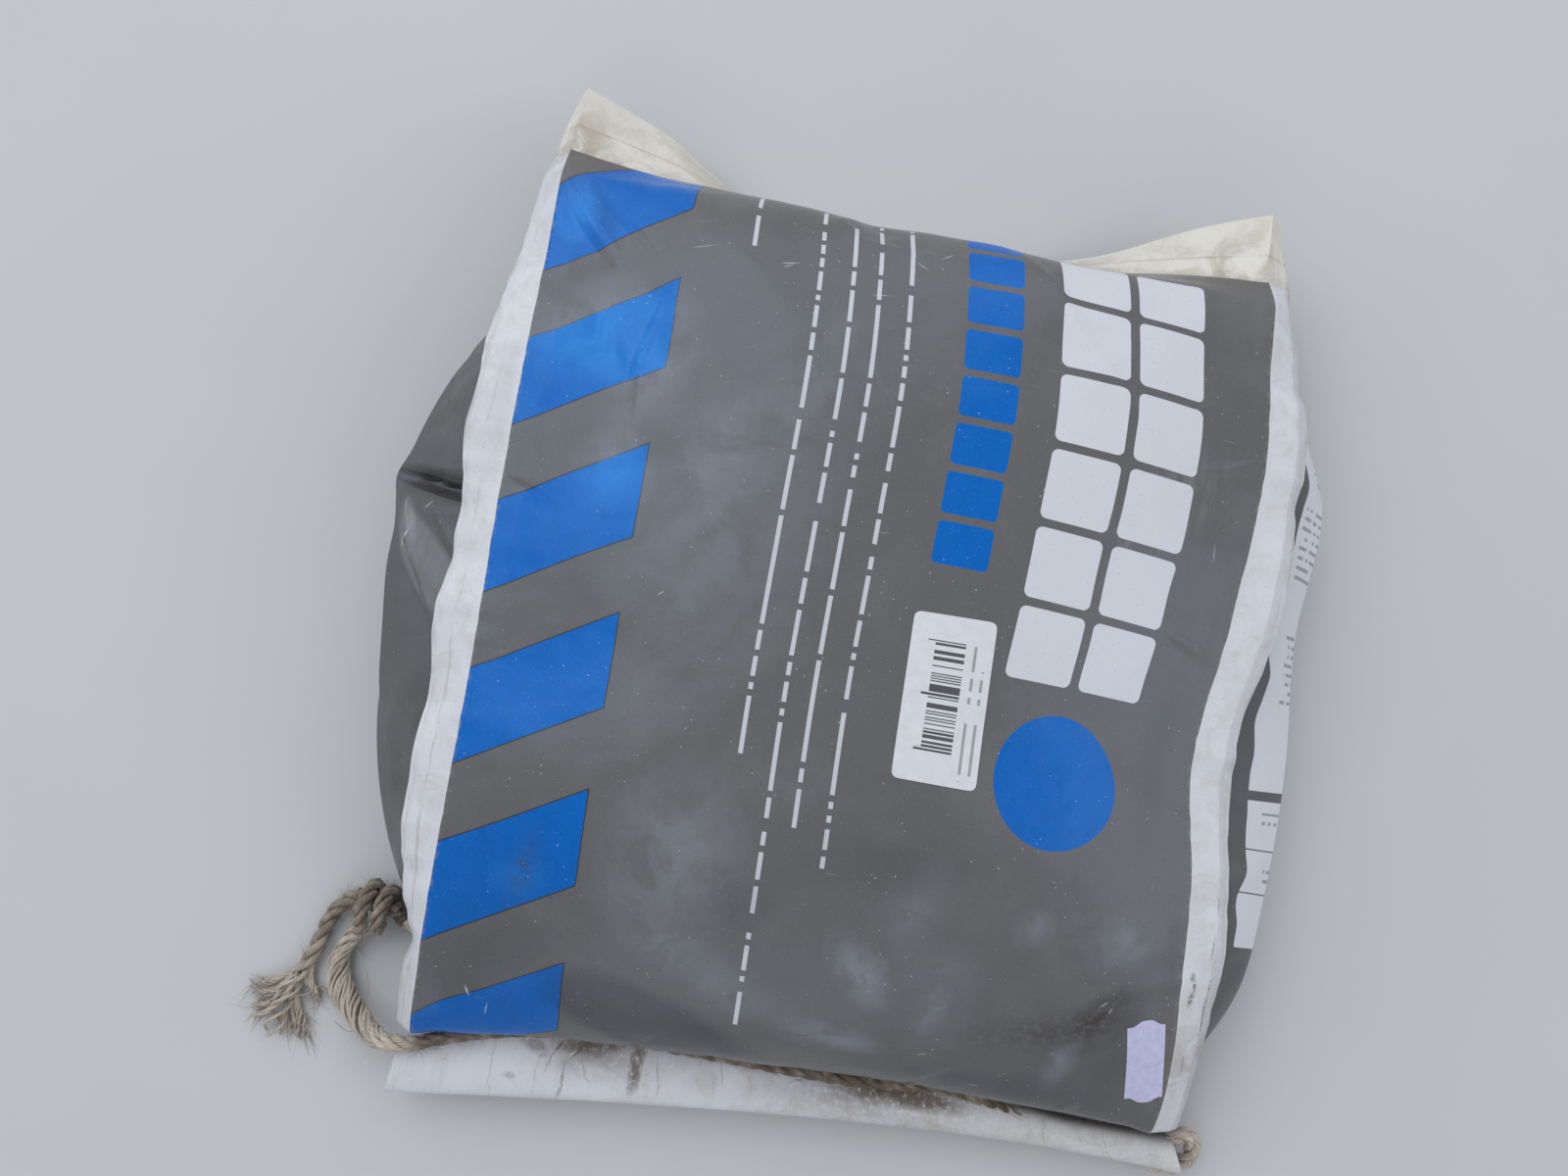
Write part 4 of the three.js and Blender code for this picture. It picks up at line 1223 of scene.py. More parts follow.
def panel_finish(name, film, blue, white, printed=True):
    """Printed film: satin, a little uneven, with dust, scratches, smears and worn edges."""
    finish = Finish(name)
    place = finish.place("film")
    dust, dark, scratch, smudge, mottle = film_wear(finish, place)
    uneven = finish.cloud(place, 0.16, 4.0, 0.55)
    colour = finish.mix(smudge * 0.06, film, tone(176, 174, 172))
    if printed:
        blue_mask, white_mask, line = print_masks(finish, *finish.parts(place))
        colour = finish.mix(line * 0.8, colour, tone(34, 40, 52))
        ink = finish.mix(uneven.ramp(0.4, 0.8) * 0.5, blue, darker(blue, 0.8))
        colour = finish.mix(white_mask, finish.mix(blue_mask, colour, ink), white)
    colour = finish.mix(mottle.ramp(0.56, 0.78) * 0.3, colour, tone(58, 57, 60))
    colour = finish.mix(mottle.ramp(0.44, 0.24) * 0.12, colour, tone(190, 190, 190))
    bump = finish.bump(uneven * 0.5 + mottle * 0.3 + scratch * 0.1, 0.0004, 0.35)
    if printed:
        patchy = finish.cloud(place, 0.35, 5.0, 0.7)
        colour = panel_marks(finish, place, colour, blue_mask, patchy)
        scratch = (scratch + all_strokes(place, SCRATCHES) * patchy.ramp(0.3, 0.5)).limit()
        bump = finish.bump(creases(place, FINE_CREASES), 0.001, 1.0, bump)
    grime = film_grime(finish, place)
    colour = finish.mix((dust * 0.7).limit(), colour, DUST)
    colour = finish.mix(dark * 0.6, colour, SPECK)
    colour = finish.mix((scratch * 0.6).limit(), colour, SCRATCHED)
    colour = finish.mix((grime * 0.8).limit(), colour, MUD)
    rough = 0.2 + smudge * 0.12 + dust * 0.3 + mottle * 0.1 + grime * 0.3
    return finish.surface(colour, rough, bump, SKY_TINTED_SHINE)


# On the right gusset: where its white fields begin and end along it, and where they carry rules
GUSSET_FIELDS = [(71.5, 91.7), (92.2, 107.3), (107.8, 125), (128.5, 262)]
GUSSET_RULED = [
    ((159, 187), (35, 62)), ((203, 232), (28, 62)), ((237.5, 247), (36, 62)), ((115, 121), (33, 60)),
    ((95, 101), (38, 60)),
]
FIELD_MIDDLE, FIELD_HALF = 44.5, 20
RULE_PITCH, WORD_CELL = 3.4, 2.1


def gusset_finish(name, film, white):
    """The panel's film darkened as painted shade on the sack's sides, with bare white fields of grey rules on
    the right-hand side.
    """
    finish = Finish(name)
    place = finish.place("film")
    u, v = finish.parts(place)
    dust, dark, scratch, smudge, mottle = film_wear(finish, place)
    right = finish.value("right_side")
    left = 1 - right
    # painted shade: the panel's film darkened to 0.8 for the sides, and to 0.6 in mottled patches
    colour = finish.mix(mottle.ramp(0.45, 0.75) * 0.3, darker(film, 0.8), darker(film, 0.6))
    field = ruled = 0.0
    for low, high in GUSSET_FIELDS:
        middle, half = (low + high) / 2, (high - low) / 2
        field = field + rounded(finish, u - FIELD_MIDDLE, v - middle, FIELD_HALF, half, 0.5)
    for along, across in GUSSET_RULED:
        ruled = ruled + v.within(*along) * u.within(*across)
    chance = finish.chance((u / WORD_CELL).floor(), (v / RULE_PITCH).floor())
    rules = abs(v % RULE_PITCH - RULE_PITCH / 2).ramp(0.75, 0.5) * (chance > 0.22) * ruled
    colour = finish.mix((field * right).limit(), colour, white)
    colour = finish.mix((rules * right * 0.6).limit(), colour, tone(84, 84, 90))
    # the scuffed facet on the left, with its scuffs and painted light on the facet, and painted shade in the
    # hollow below its deepest fold
    scuffs_and_painted_light = stroke(place, (24, 160), 44, 50, 19, crisp=0.75) + stroke(place, (34, 173), 62, 18, 8, crisp=0.5)
    streaks = finish.cloud(finish.scaled(place, (1.6, 0.3, 1), turn=-48), 0.35, 5.0, 0.7).ramp(0.1, 0.7)
    colour = finish.mix((scuffs_and_painted_light * (0.4 + streaks * 0.6) * left * 0.45).limit(), colour, tone(150, 149, 150))
    marks = all_strokes(place, GUSSET_SCRATCHES) * left * finish.cloud(place, 0.9).ramp(0.25, 0.4)
    colour = finish.mix(smudge * 0.06, colour, tone(190, 188, 186))
    colour = finish.mix((dust * 0.6 + scratch * 0.5 + marks * 0.85).limit(), colour, tone(208, 206, 204))
    colour = finish.mix(dark * 0.6, colour, SPECK)
    grime = film_grime(finish, place)
    colour = finish.mix((grime * 0.8).limit(), colour, MUD)
    # painted shade in the hollow below the deepest fold
    shade = stroke(place, (23, 183), 8, 50, 9, crisp=0.0) * left
    colour = finish.mix((shade * 0.55).limit(), colour, tone(52, 50, 52))
    bump = finish.bump(finish.cloud(place, 0.16, 4.0, 0.55) * 0.8 + mottle * 0.25, 0.0005, 0.4)
    bump = finish.bump(creases(place, GUSSET_CREASES) * left, 0.001, 1.0, bump)
    rough = 0.3 + smudge * 0.12 + dust * 0.3 + grime * 0.3
    return finish.surface(colour, rough, bump, SKY_TINTED_SHINE)


def weld_finish(name, white, dirt, crease, strength, seam=0.0):
    """Unprinted white film of the fins or the margin, with dirt in its creases and along its edges, and
    painted shade past the right fin's crease.
    """
    finish = Finish(name)
    place = finish.place("film")
    u, v = finish.parts(place)
    _, dark, scratch, smudge, mottle = film_wear(finish, place)
    patchy = finish.cloud(place, 0.09, 6.0, 0.68, 0.8)
    streak = finish.cloud(finish.scaled(place, (0.5, 0.06, 1)), 1.0, 4.0, 0.6)
    colour = finish.mix((patchy.ramp(0.4, 0.75) * strength).limit(), white, dirt)
    if crease:
        right = finish.value("right_side")
        handled = 0.14 + v.ramp(200, 60) * 0.24
        folded = u - FIN_WIDTH * (right * (CREASE_RIGHT[0] - CREASE_LEFT[0]) + CREASE_LEFT[0])
        line = abs(folded + (patchy - 0.5) * 1.6).ramp(0.8, 0.1) * streak.ramp(0.38, 0.6) * (1 - right * 0.6)
        edge = u.ramp(FIN_WIDTH - 3.2, FIN_WIDTH + 0.2) * streak.ramp(0.42, 0.62)
        rubs = finish.cloud(finish.scaled(place, (0.9, 0.25, 1), (3, 8, 0)), 1.0, 4.0, 0.65).ramp(0.6, 0.7)
        worn = (line + rubs * 0.7) * handled + edge * 0.35
        colour = finish.mix(worn.limit(), colour, tone(142, 130, 116))
        # painted shade on the right fin past its crease, where the film turns down
        colour = finish.mix((folded.ramp(-0.1, 0.4) * right * 0.3).limit(), colour, tone(150, 148, 152))
        marks = all_strokes(place, FIN_MARKS) * right * finish.cloud(place, 0.9).ramp(0.36, 0.5)
        colour = finish.mix(marks.limit(), colour, tone(92, 86, 80))
    else:
        beyond = v - seam
        folded = abs(beyond - 10.5 + (patchy - 0.5) * 1.2).ramp(0.7, 0.1) * patchy.ramp(0.3, 0.5)
        band = beyond.ramp(7.5, 0.5) * patchy.ramp(0.36, 0.6)
        colour = finish.mix((folded * 0.4 + band * 0.32).limit(), colour, tone(158, 142, 116))
    grime = finish.value("grime") * patchy.ramp(0.3, 0.6)
    colour = finish.mix((grime * 0.8).limit(), colour, tone(128, 110, 88))
    specks = finish.spots(finish.scaled(place, (1, 1, 1), (5, 3, 0), 50), 0.8, 0.11) * streak.ramp(0.5, 0.6)
    colour = finish.mix((specks * 0.75 + dark * 0.7).limit(), colour, tone(72, 64, 56))
    colour = finish.mix((scratch * 0.3 + mottle.ramp(0.58, 0.78) * 0.14).limit(), colour, tone(140, 136, 130))
    height = patchy * 0.8 + mottle * 0.3 + finish.cloud(place, 0.16, 4.0, 0.55) * 0.6
    rough = 0.36 + smudge * 0.12 + grime * 0.3
    return finish.surface(colour, rough, finish.bump(height, 0.0005, 0.5), PLAIN_SHINE)


# Dirty marks on the hem: place along it and round it, direction, length, width, strength
HEM_MARKS = [
    ((33.5, 12), 88, 26, 0.9, 0.22), ((48.3, 10), 92, 24, 0.9, 0.2), ((53.5, 8), 118, 13, 1.1, 0.5),
    ((57, 15), 95, 14, 1.0, 0.45), ((80.5, 10), 97, 16, 5.5, 0.8), ((72, 4), 84, 8, 10, 0.6),
    ((143, 5), 80, 7, 14, 0.5), ((40, 13.5), 8, 6, 2.0, 0.35), ((215, 10), 92, 22, 0.9, 0.2),
    ((236, 10), 84, 24, 1.0, 0.25), ((64, 12), 60, 9, 1.0, 0.3), ((108, 9), 70, 10, 1.2, 0.3),
    ((168, 7), 96, 12, 1.2, 0.3), ((61, 8), 140, 10, 0.9, 0.3), ((88, 12), 75, 12, 1.0, 0.3),
    ((173, 8.5), 2, 40, 9, 0.9), ((158, 9), -20, 14, 4, 0.6), ((46, 7), 20, 14, 4, 0.5),
    ((62, 6.5), 0, 24, 6, 0.7),
]


def hem_finish(white):
    """White film folded to a hem: dirt and brown stains by the crease, fine cracks, a warm-grey bloom,
    painted shade round its roll and a painted shadow under the panel's edge.
    """
    finish = Finish("hem_film")
    place = finish.place("film")
    long, round_ = finish.parts(place)
    depth = round_ * HEM_GIRTH
    flat = finish.flat(long, depth)
    far = finish.cloud(flat, 0.07, 5.0, 0.65, 0.6)
    fine = finish.cloud(flat, 0.5, 5.0, 0.7)
    bloom = finish.cloud(finish.scaled(flat, (0.35, 1, 1)), 0.12, 4.0, 0.6)
    wrinkles = finish.cloud(finish.scaled(flat, (0.2, 0.035, 1), (2, 5, 0), 8), 1.0, 3.0, 0.5)
    dirt = far.ramp(0.42, 0.78) * (0.25 + long.ramp(60, 110) * 0.5)
    colour = finish.mix(dirt.limit(), white, tone(190, 182, 170))
    # painted shade round the roll: bluish grey near the crease and along the lower edge
    tucked = depth.ramp(12.0, 4.0) * 0.5 + depth.ramp(21.5, 23.0) * 0.6
    colour = finish.mix((tucked * (0.6 + far * 0.4)).limit(), colour, tone(158, 158, 168))
    crease = depth.ramp(9.0, 2.0) * (0.2 + long.ramp(38, 60) * 0.8) * (1 - long.ramp(150, 190) * 0.5)
    colour = finish.mix((crease * fine.ramp(0.2, 0.6) * 0.7).limit(), colour, tone(140, 124, 104))
    warm = long.ramp(110, 200) * (0.1 + fine.ramp(0.3, 0.7) * 0.4)
    colour = finish.mix(warm.limit(), colour, tone(184, 177, 164))
    # painted shadow on the roll's inner side, under the panel's edge
    painted_gap_shadow = depth.ramp(7.5, 1.5) * long.ramp(110, 170)
    colour = finish.mix((painted_gap_shadow * 0.8).limit(), colour, tone(74, 68, 62))
    stains = finish.value("grime") * bloom.ramp(0.12, 0.66) * 0.85
    colour = finish.mix((stains * fine.ramp(0.25, 0.5)).limit(), colour, tone(84, 64, 46))
    cells = {"Vector": finish.scaled(flat, (0.3, 1, 1)), "Scale": 0.35}
    cracks = finish.node("TexVoronoi", {"feature": "DISTANCE_TO_EDGE"}, cells)
    cracks = cracks.ramp(0.03, 0.0) * far.ramp(0.5, 0.62)
    colour = finish.mix((cracks * 0.35).limit(), colour, tone(150, 140, 126))
    wobbly = finish.flat(long + (finish.cloud(flat, 0.16, 3.0, 0.6) - 0.5) * 5, depth)
    dirty = all_strokes(wobbly, HEM_MARKS)
    colour = finish.mix((dirty * fine.ramp(0.3, 0.52)).limit(), colour, tone(92, 78, 62))
    specks = finish.spots(flat, 0.5, 0.09)
    colour = finish.mix((specks * 0.5).limit(), colour, tone(110, 96, 80))
    rough = 0.4 + far * 0.12 + stains * 0.3
    height = far * 0.5 + fine * 0.2 + bloom * 0.4 + wrinkles * 2.2 - dirty.limit() * 0.4
    return finish.surface(colour, rough, finish.bump(height, 0.001, 0.6), PLAIN_SHINE)


def rope_finish(name, fibre, dark):
    """Natural fibre: fine fibres at a slant along each strand, dirt where the rope was trapped, and darker
    towards the sack on the knot and the tail.
    """
    finish = Finish(name)
    along, round_ = finish.parts(finish.place("lay"))
    fibres = finish.cloud(finish.flat(along * 0.1, round_ * 16 + along * 1.1), 1.3, 4.0, 0.65, 0.3)
    broad = finish.cloud(finish.node("TexCoord", {}, {}, "Object"), 160.0, 4.0, 0.6)
    colour = finish.mix(fibres.ramp(0.3, 0.62), dark, fibre)
    colour = finish.mix((broad.ramp(0.5, 0.75) * 0.45).limit(), colour, tone(150, 137, 120))
    # the dirt value: dirt in the crease, and on the knot and the tail darker towards the sack
    dirt = finish.value("dirt")
    colour = finish.mix((dirt * (0.5 + broad.ramp(0.3, 0.6) * 0.45)).limit(), colour, tone(96, 82, 68))
    return finish.surface(colour, 0.86 - fibres * 0.1, finish.bump(fibres, 0.0006, 0.8))


BAR_CELL = 0.375  # the width of the label's finest bar


def barcode_finish(white):
    """White label stock with plain bars of random widths and thin grey rules."""
    finish = Finish("barcode_label")
    place = finish.place("face")
    x, y = finish.parts(place)
    from_middle = abs(y - 1)
    # long bars at the two ends and in the middle
    guard = abs(from_middle - 16.1).ramp(0.6, 0.55).larger(from_middle.ramp(0.6, 0.55))
    bars = x.within(-5.2, 4.0) * (from_middle < 16.6)
    ink = bars.larger(guard * x.within(-7.4, 4.0)) * (finish.chance((y / BAR_CELL).floor()) > 0.5)
    rules = (abs(x - 10.0) < 0.45) * y.within(-21, 10) + (abs(x - 7.0) < 0.45) * y.within(-23, 17)
    broken = finish.chance((y / RULE_CELL).floor()) > 0.25
    paper = finish.cloud(place, 0.25, 4.0, 0.6)
    colour = finish.mix(paper.ramp(0.35, 0.7), white, darker(white, 0.93))
    colour = finish.mix((rules * broken * 0.6).limit(), colour, tone(90, 92, 98))
    colour = finish.mix((ink * 0.93).limit(), colour, tone(52, 54, 60))
    rub = finish.spots(place, 0.8, 0.1)
    colour = finish.mix((rub * 0.5).limit(), colour, tone(170, 168, 166))
    bump = finish.bump(finish.cloud(place, 1.4, 3.0, 0.5) + paper, 0.0001, 0.4)
    return finish.surface(colour, 0.42 + paper * 0.1, bump)


def price_finish(lilac):
    """Bare lilac label stock, a little rubbed and dirty."""
    finish = Finish("price_label")
    place = finish.place("face")
    paper = finish.cloud(place, 0.35, 5.0, 0.65)
    fibre = finish.cloud(place, 2.6, 3.0, 0.6)
    colour = finish.mix(paper.ramp(0.35, 0.7), lilac, darker(lilac, 0.86))
    rub = finish.spots(place, 0.6, 0.12) * paper.ramp(0.4, 0.6)
    colour = finish.mix((rub * 0.5).limit(), colour, tone(150, 146, 160))
    return finish.surface(colour, 0.5 + fibre * 0.1, finish.bump(paper + fibre * 0.5, 0.00015, 0.5))


def floor_finish(colour):
    """Pale matt floor, a little uneven."""
    finish = Finish("studio_floor")
    place = finish.node("TexCoord", {}, {}, "Object")
    soft = finish.cloud(place, 6.0, 3.0, 0.5)
    shade = finish.mix(soft.ramp(0.3, 0.7), colour, darker(colour, 0.97))
    return finish.surface(shade, 0.75 + soft * 0.1)


# Settings, operators and panel

COLOUR = {"subtype": "COLOR", "size": 4, "min": 0, "max": 1}


class FilmSettings(bpy.types.PropertyGroup):
    """The printed film."""

    film: bpy.props.FloatVectorProperty(
        name="Film", description="Colour of the dark film", default=tone(104, 101, 100), **COLOUR
    )
    blue: bpy.props.FloatVectorProperty(
        name="Stripes", description="Colour of the stripes", default=tone(0, 100, 188), **COLOUR
    )
    white: bpy.props.FloatVectorProperty(
        name="White", description="Colour of the unprinted film", default=tone(214, 214, 220), **COLOUR
    )
    margin: bpy.props.FloatVectorProperty(
        name="Margin", description="Colour of the sealed margin", default=tone(224, 219, 210), **COLOUR
    )
    fill: bpy.props.FloatProperty(
        name="Fill", description="How tightly the sack is filled", default=0.8, min=0, max=1, subtype="FACTOR"
    )


class RopeSettings(bpy.types.PropertyGroup):
    """The rope of three strands."""

    diameter: bpy.props.FloatProperty(
        name="Diameter", description="Thickness of the rope", default=0.0057, min=0.004, max=0.008,
        unit="LENGTH",
    )
    lay: bpy.props.FloatProperty(
        name="Lay", description="Length of one turn of a strand", default=0.019, min=0.01, max=0.03,
        unit="LENGTH",
    )
    fibre: bpy.props.FloatVectorProperty(
        name="Fibre", description="Colour of the fibre", default=tone(224, 212, 198), **COLOUR
    )
    shade: bpy.props.FloatVectorProperty(
        name="Shade", description="Colour between the fibres", default=tone(146, 129, 110), **COLOUR
    )


class StickerSettings(bpy.types.PropertyGroup):
    """The two stickers."""

    thickness: bpy.props.FloatProperty(
        name="Thickness", description="Thickness of the label stock", default=0.00014, min=0.00005, max=0.001,
        unit="LENGTH",
    )
    corner: bpy.props.FloatProperty(
        name="Corner", description="Corner radius of the white label", default=0.002, min=0.0, max=0.005,
        unit="LENGTH",
    )
    white: bpy.props.FloatVectorProperty(
        name="White", description="Colour of the white label", default=tone(222, 222, 227), **COLOUR
    )
    lilac: bpy.props.FloatVectorProperty(
        name="Lilac", description="Colour of the small label", default=tone(198, 198, 228), **COLOUR
    )


class StageSettings(bpy.types.PropertyGroup):
    """The camera, floor and light."""

    lens: bpy.props.FloatProperty(
        name="Lens", description="Focal length in millimetres", default=27.0, min=10, max=120
    )
    floor: bpy.props.FloatVectorProperty(
        name="Floor", description="Colour of the floor", default=tone(200, 200, 202), **COLOUR
    )
    key: bpy.props.FloatProperty(
        name="Soft light", description="Power of the large light", default=15.6, min=0, max=200, unit="POWER"
    )
    sky: bpy.props.FloatProperty(
        name="Fill light", description="Strength of the even light", default=0.5, min=0, max=10
    )


# The camera: its slope and roll in degrees, and how far it stands from a place above the sack's middle, along
# its own right, up and forward directions
CAMERA_SLOPE, CAMERA_ROLL = 84, 8.3
CAMERA_FROM = (-20.358, 11.633, -349)
CAMERA_AIM = [0, 0, 70.0]
# The soft lights: place, size, share of the large light's power, tint
LIGHTS = {
    "far": ((-0.35, 1.7, 1.2), (2.6, 1.5), 0.75, (0.95, 0.98, 1.0)),
    "left": ((-2.3, 0.5, 1.1), (1.6, 2.0), 0.4, (0.95, 0.98, 1.0)),
    "overhead": ((-1.1, 0.85, 1.9), (2.2, 1.5), 1.1, (0.96, 0.99, 1.0)),
    "right": ((1.8, -0.3, 1.2), (1.2, 1.2), 0.45, (1.0, 0.98, 0.96)),
    "near": ((0.0, -1.8, 1.2), (1.6, 0.8), 0.2, (1.0, 0.99, 0.97)),
}


class BAG_OT_stage(bpy.types.Operator):
    """Place the camera, the floor and the soft lights"""

    bl_idname = "bag.stage"
    bl_label = "Stage"

    def execute(self, context):
        settings = context.scene.bag_stage
        slope, roll = math.radians(CAMERA_SLOPE), math.radians(CAMERA_ROLL)
        forward = np.array([0, math.cos(slope), -math.sin(slope)])
        level, rise = np.array([1.0, 0, 0]), np.array([0, math.sin(slope), math.cos(slope)])
        right = level * math.cos(roll) + rise * math.sin(roll)
        up = -level * math.sin(roll) + rise * math.cos(roll)
        place = np.array(CAMERA_AIM) + right * CAMERA_FROM[0] + up * CAMERA_FROM[1] + forward * CAMERA_FROM[2]
        place = place - CENTRE
        data = bpy.data.cameras.new("view")
        data.lens, data.sensor_width, data.clip_start = settings.lens, 36.0, 0.01
        camera = bpy.data.objects.new("view", data)
        camera.matrix_world = Matrix(
            [[right[k], up[k], -forward[k], place[k] * MM] for k in range(3)] + [[0, 0, 0, 1]]
        )
        context.scene.collection.objects.link(camera)
        context.scene.camera = camera
        bpy.ops.object.select_all(action="DESELECT")
        bpy.ops.mesh.primitive_grid_add(x_subdivisions=8, y_subdivisions=8, size=8, location=(0, 0, 0))
        floor = context.active_object
        floor.name = "studio_floor"
        floor.data.materials.append(floor_finish(settings.floor))
        for name, (at, size, share, tint) in LIGHTS.items():
            light = bpy.data.lights.new(name, "AREA")
            light.shape, light.size, light.size_y = "RECTANGLE", *size
            light.energy, light.color = settings.key * share, tint
            lamp = bpy.data.objects.new(name, light)
            lamp.location = at
            lamp.rotation_euler = (-Vector(at)).to_track_quat("-Z", "Y").to_euler()
            context.scene.collection.objects.link(lamp)
        world = bpy.data.worlds.new("even_light")
        world.use_nodes = True
        back = world.node_tree.nodes["Background"]
        back.inputs["Color"].default_value = (0.86, 0.92, 1.0, 1.0)
        back.inputs["Strength"].default_value = settings.sky
        context.scene.world = world
        context.scene.view_settings.view_transform = "Standard"
        return {"FINISHED"}


def rope_dirt(places, handled):
    """How dark the rope is at each place: dirt, most in the crease, and on the knot and the tail darker
    towards the sack.
    """
    x, y, z = places.T
    trapped = smoothstep(x, -128, -112) * (1 - smoothstep(x, 126, 140)) * smoothstep(z, 10, 20)
    # on the knot and the tail: darker towards the sack
    loose = smoothstep(y, -150, -118) * 0.8 if handled else 0.0
    return np.clip(trapped + loose, 0, 1)


class BAG_OT_rope(bpy.types.Operator):
    """Lay the rope in its hem, with its knot, tail and loose fibres"""

    bl_idname = "bag.rope"
    bl_label = "Rope"

    def execute(self, context):
        settings = context.scene.bag_rope
        pieces, line, tail_line = rope_pieces(settings.diameter / MM, settings.lay / MM)
        rope, knot, tail, fray, fibres = pieces
        finish = rope_finish("rope_fibre", settings.fibre[:], settings.shade[:])
        for piece in pieces:
            places = np.array([p.co for p in piece.data.vertices]) / MM
            add_value(piece, "dirt", rope_dirt(places, piece in (tail, knot)))
            piece.data.materials.append(finish)
            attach(piece, "root")
        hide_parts("rope_handle")
        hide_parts("rope_knot")
        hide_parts("rope_tail")
        tuple(line[0] * MM)
        (line * MM).tolist()
        tuple(tail_line[0] * MM)
        (tail_line * MM).tolist()
        return {"FINISHED"}


class BAG_OT_sack(bpy.types.Operator):
    """Shape the filled sack with its fins, gussets and sealed margin"""

    bl_idname = "bag.sack"
    bl_label = "Sack"

    def execute(self, context):
        settings = context.scene.bag_film
        points, faces, kinds, places = sack_mesh()
        sack = new_piece("film_sack_printed", points, faces)
        add_map(sack, "film", print_carried(kinds, places))
        add_value(sack, "grime", sack_grime(points))
        add_value(sack, "right_side", (points[:, 0] > 0).astype(float))
        film, blue, white = settings.film[:], settings.blue[:], settings.white[:]
        seam = row_places()[1][-1]
        for finish in (
            panel_finish("printed_film", film, blue, white),
            panel_finish("back_film", film, blue, white, False),
            gusset_finish("gusset_film", film, white),
            weld_finish("weld_film", white, tone(186, 182, 176), True, 0.5),
            weld_finish("margin_film", settings.margin[:], tone(188, 178, 158), False, 0.6, seam),
        ):
            sack.data.materials.append(finish)
        sack.data.polygons.foreach_set("material_index", np.array(kinds, np.int32))
        tidy(sack, 50)
        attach(sack, "root")
        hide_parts("film_sack")
        return {"FINISHED"}


def print_carried(kinds, places):
    """The film's places, with those on the panel carried along as the print is."""
    carried = []
    panel_kind = REGIONS.index("panel")
    for kind, corners in zip(kinds, places):
        if kind == panel_kind:
            moved = []
            for u, v in corners:
                v -= PRINT_START
                left, right = np.interp(v, *PRINT_LEFT), np.interp(v, *PRINT_RIGHT)
                share = (u + PANEL_HALF) / STRIPE_WIDTH
                if share < 1:
                    shift = left + (right - left) * share
                else:
                    shift = right * max(0.0, 1 - (share - 1) / 0.7)
                moved.append((u, v - shift))
            corners = moved
        carried.append(corners)
    return carried


# Where dirt lies on the sack: a place, how far it reaches, how much
GRIME = [
    ((0, -138, 34), 5, 0.2), ((122, -118, 36), 14, 0.5), ((-112, 148, 40), 12, 0.6),
    ((-60, 150, 20), 14, 0.5), ((112, 140, 36), 12, 0.5), ((60, 142, 24), 14, 0.5),
    ((-125, -130, 30), 10, 0.35),
]


def sack_grime(points):
    """Dirt at each point of the sack, also where it lies on the ground."""
    grime = np.zeros(len(points))
    for at, reach, most in GRIME:
        grime += most * np.exp(-(np.linalg.norm(points - np.array(at), axis=1) / reach) ** 2)
    low = 0.5 * np.exp(-points[:, 2] / 5)
    return np.clip(grime + low, 0, 1)


# Brown stains on the hem by its crease: place across, reach, how much
HEM_STAINS = [(-62, 13, 0.9), (30, 24, 1.0), (-20, 30, 0.3)]


class BAG_OT_hem(bpy.types.Operator):
    """Fold the hem that holds the rope"""

    bl_idname = "bag.hem"
    bl_label = "Hem"

    def execute(self, context):
        points, faces, places = hem_mesh()
        hem = new_piece("film_hem", points, faces)
        add_map(hem, "film", places)
        stain = sum(most * np.exp(-(((points[:, 0] - at) / reach) ** 2)) for at, reach, most in HEM_STAINS)
        add_value(hem, "grime", np.clip(stain * smoothstep(points[:, 1], -160, -146), 0, 1))
        hem.data.materials.append(hem_finish(context.scene.bag_film.white[:]))
        tidy(hem, 60)
        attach(hem, "root")
        return {"FINISHED"}


def over_panel(tree, across, along):
    """The point on the panel straight under a place of the tables."""
    hit = tree.ray_cast(Vector((across * MM, along * MM, 0.3)), Vector((0, 0, -1)))
    if hit[0] is None:
        raise RuntimeError("a sticker reaches past the panel")
    return np.array(hit[0]) / MM, np.array(hit[1])


BARCODE_SIZE, PRICE_SIZE = (25, 50), (12, 26)
STICKER_CELL = 1.1
STICKER_GAP = 0.06  # the glue between the film and a sticker


def sticker(name, corners, size, shape, thickness, tree):
    """A thin label that follows the film, from its corners on it. Its map is in millimetres."""
    wide, long = size
    columns, rows = max(6, round(wide / STICKER_CELL)), max(6, round(long / STICKER_CELL))
    t, v = row_places()
    flat = [panel("front", np.interp([b], v, t), np.array([a / PANEL_HALF]))[0, 0] for a, b in corners]
    top, under, places = [], [], []
    for row in range(rows + 1):
        for column in range(columns + 1):
            x, y = shape(column / columns * 2 - 1, row / rows * 2 - 1)
            s, r = (x + 1) / 2, (y + 1) / 2
            left, right = flat[3] + (flat[0] - flat[3]) * r, flat[2] + (flat[1] - flat[2]) * r
            spot = left + (right - left) * s
            point, normal = over_panel(tree, spot[0], spot[1])
            under.append(point + normal * STICKER_GAP)
            top.append(point + normal * (STICKER_GAP + thickness))
            places.append((x * wide / 2, y * long / 2))
    count = len(top)
    faces, corners_at = [], []

    def add(face):
        faces.append(face)
        corners_at.append([places[k % count] for k in face])

    line = columns + 1
    for row in range(rows):
        for column in range(columns):
            a = row * line + column
            add([a, a + 1, a + line + 1, a + line])
            add([count + a, count + a + line, count + a + line + 1, count + a + 1])
    rim = [*range(line - 1), *(line - 1 + line * k for k in range(rows))]
    rim += [count - 1 - k for k in range(line - 1)] + [line * (rows - k) for k in range(rows)]
    for a, b in zip(rim, rim[1:] + rim[:1]):
        add([b, a, count + a, count + b])
    piece = new_piece(name, top + under, faces)
    add_map(piece, "face", corners_at)
    return tidy(piece, 30)


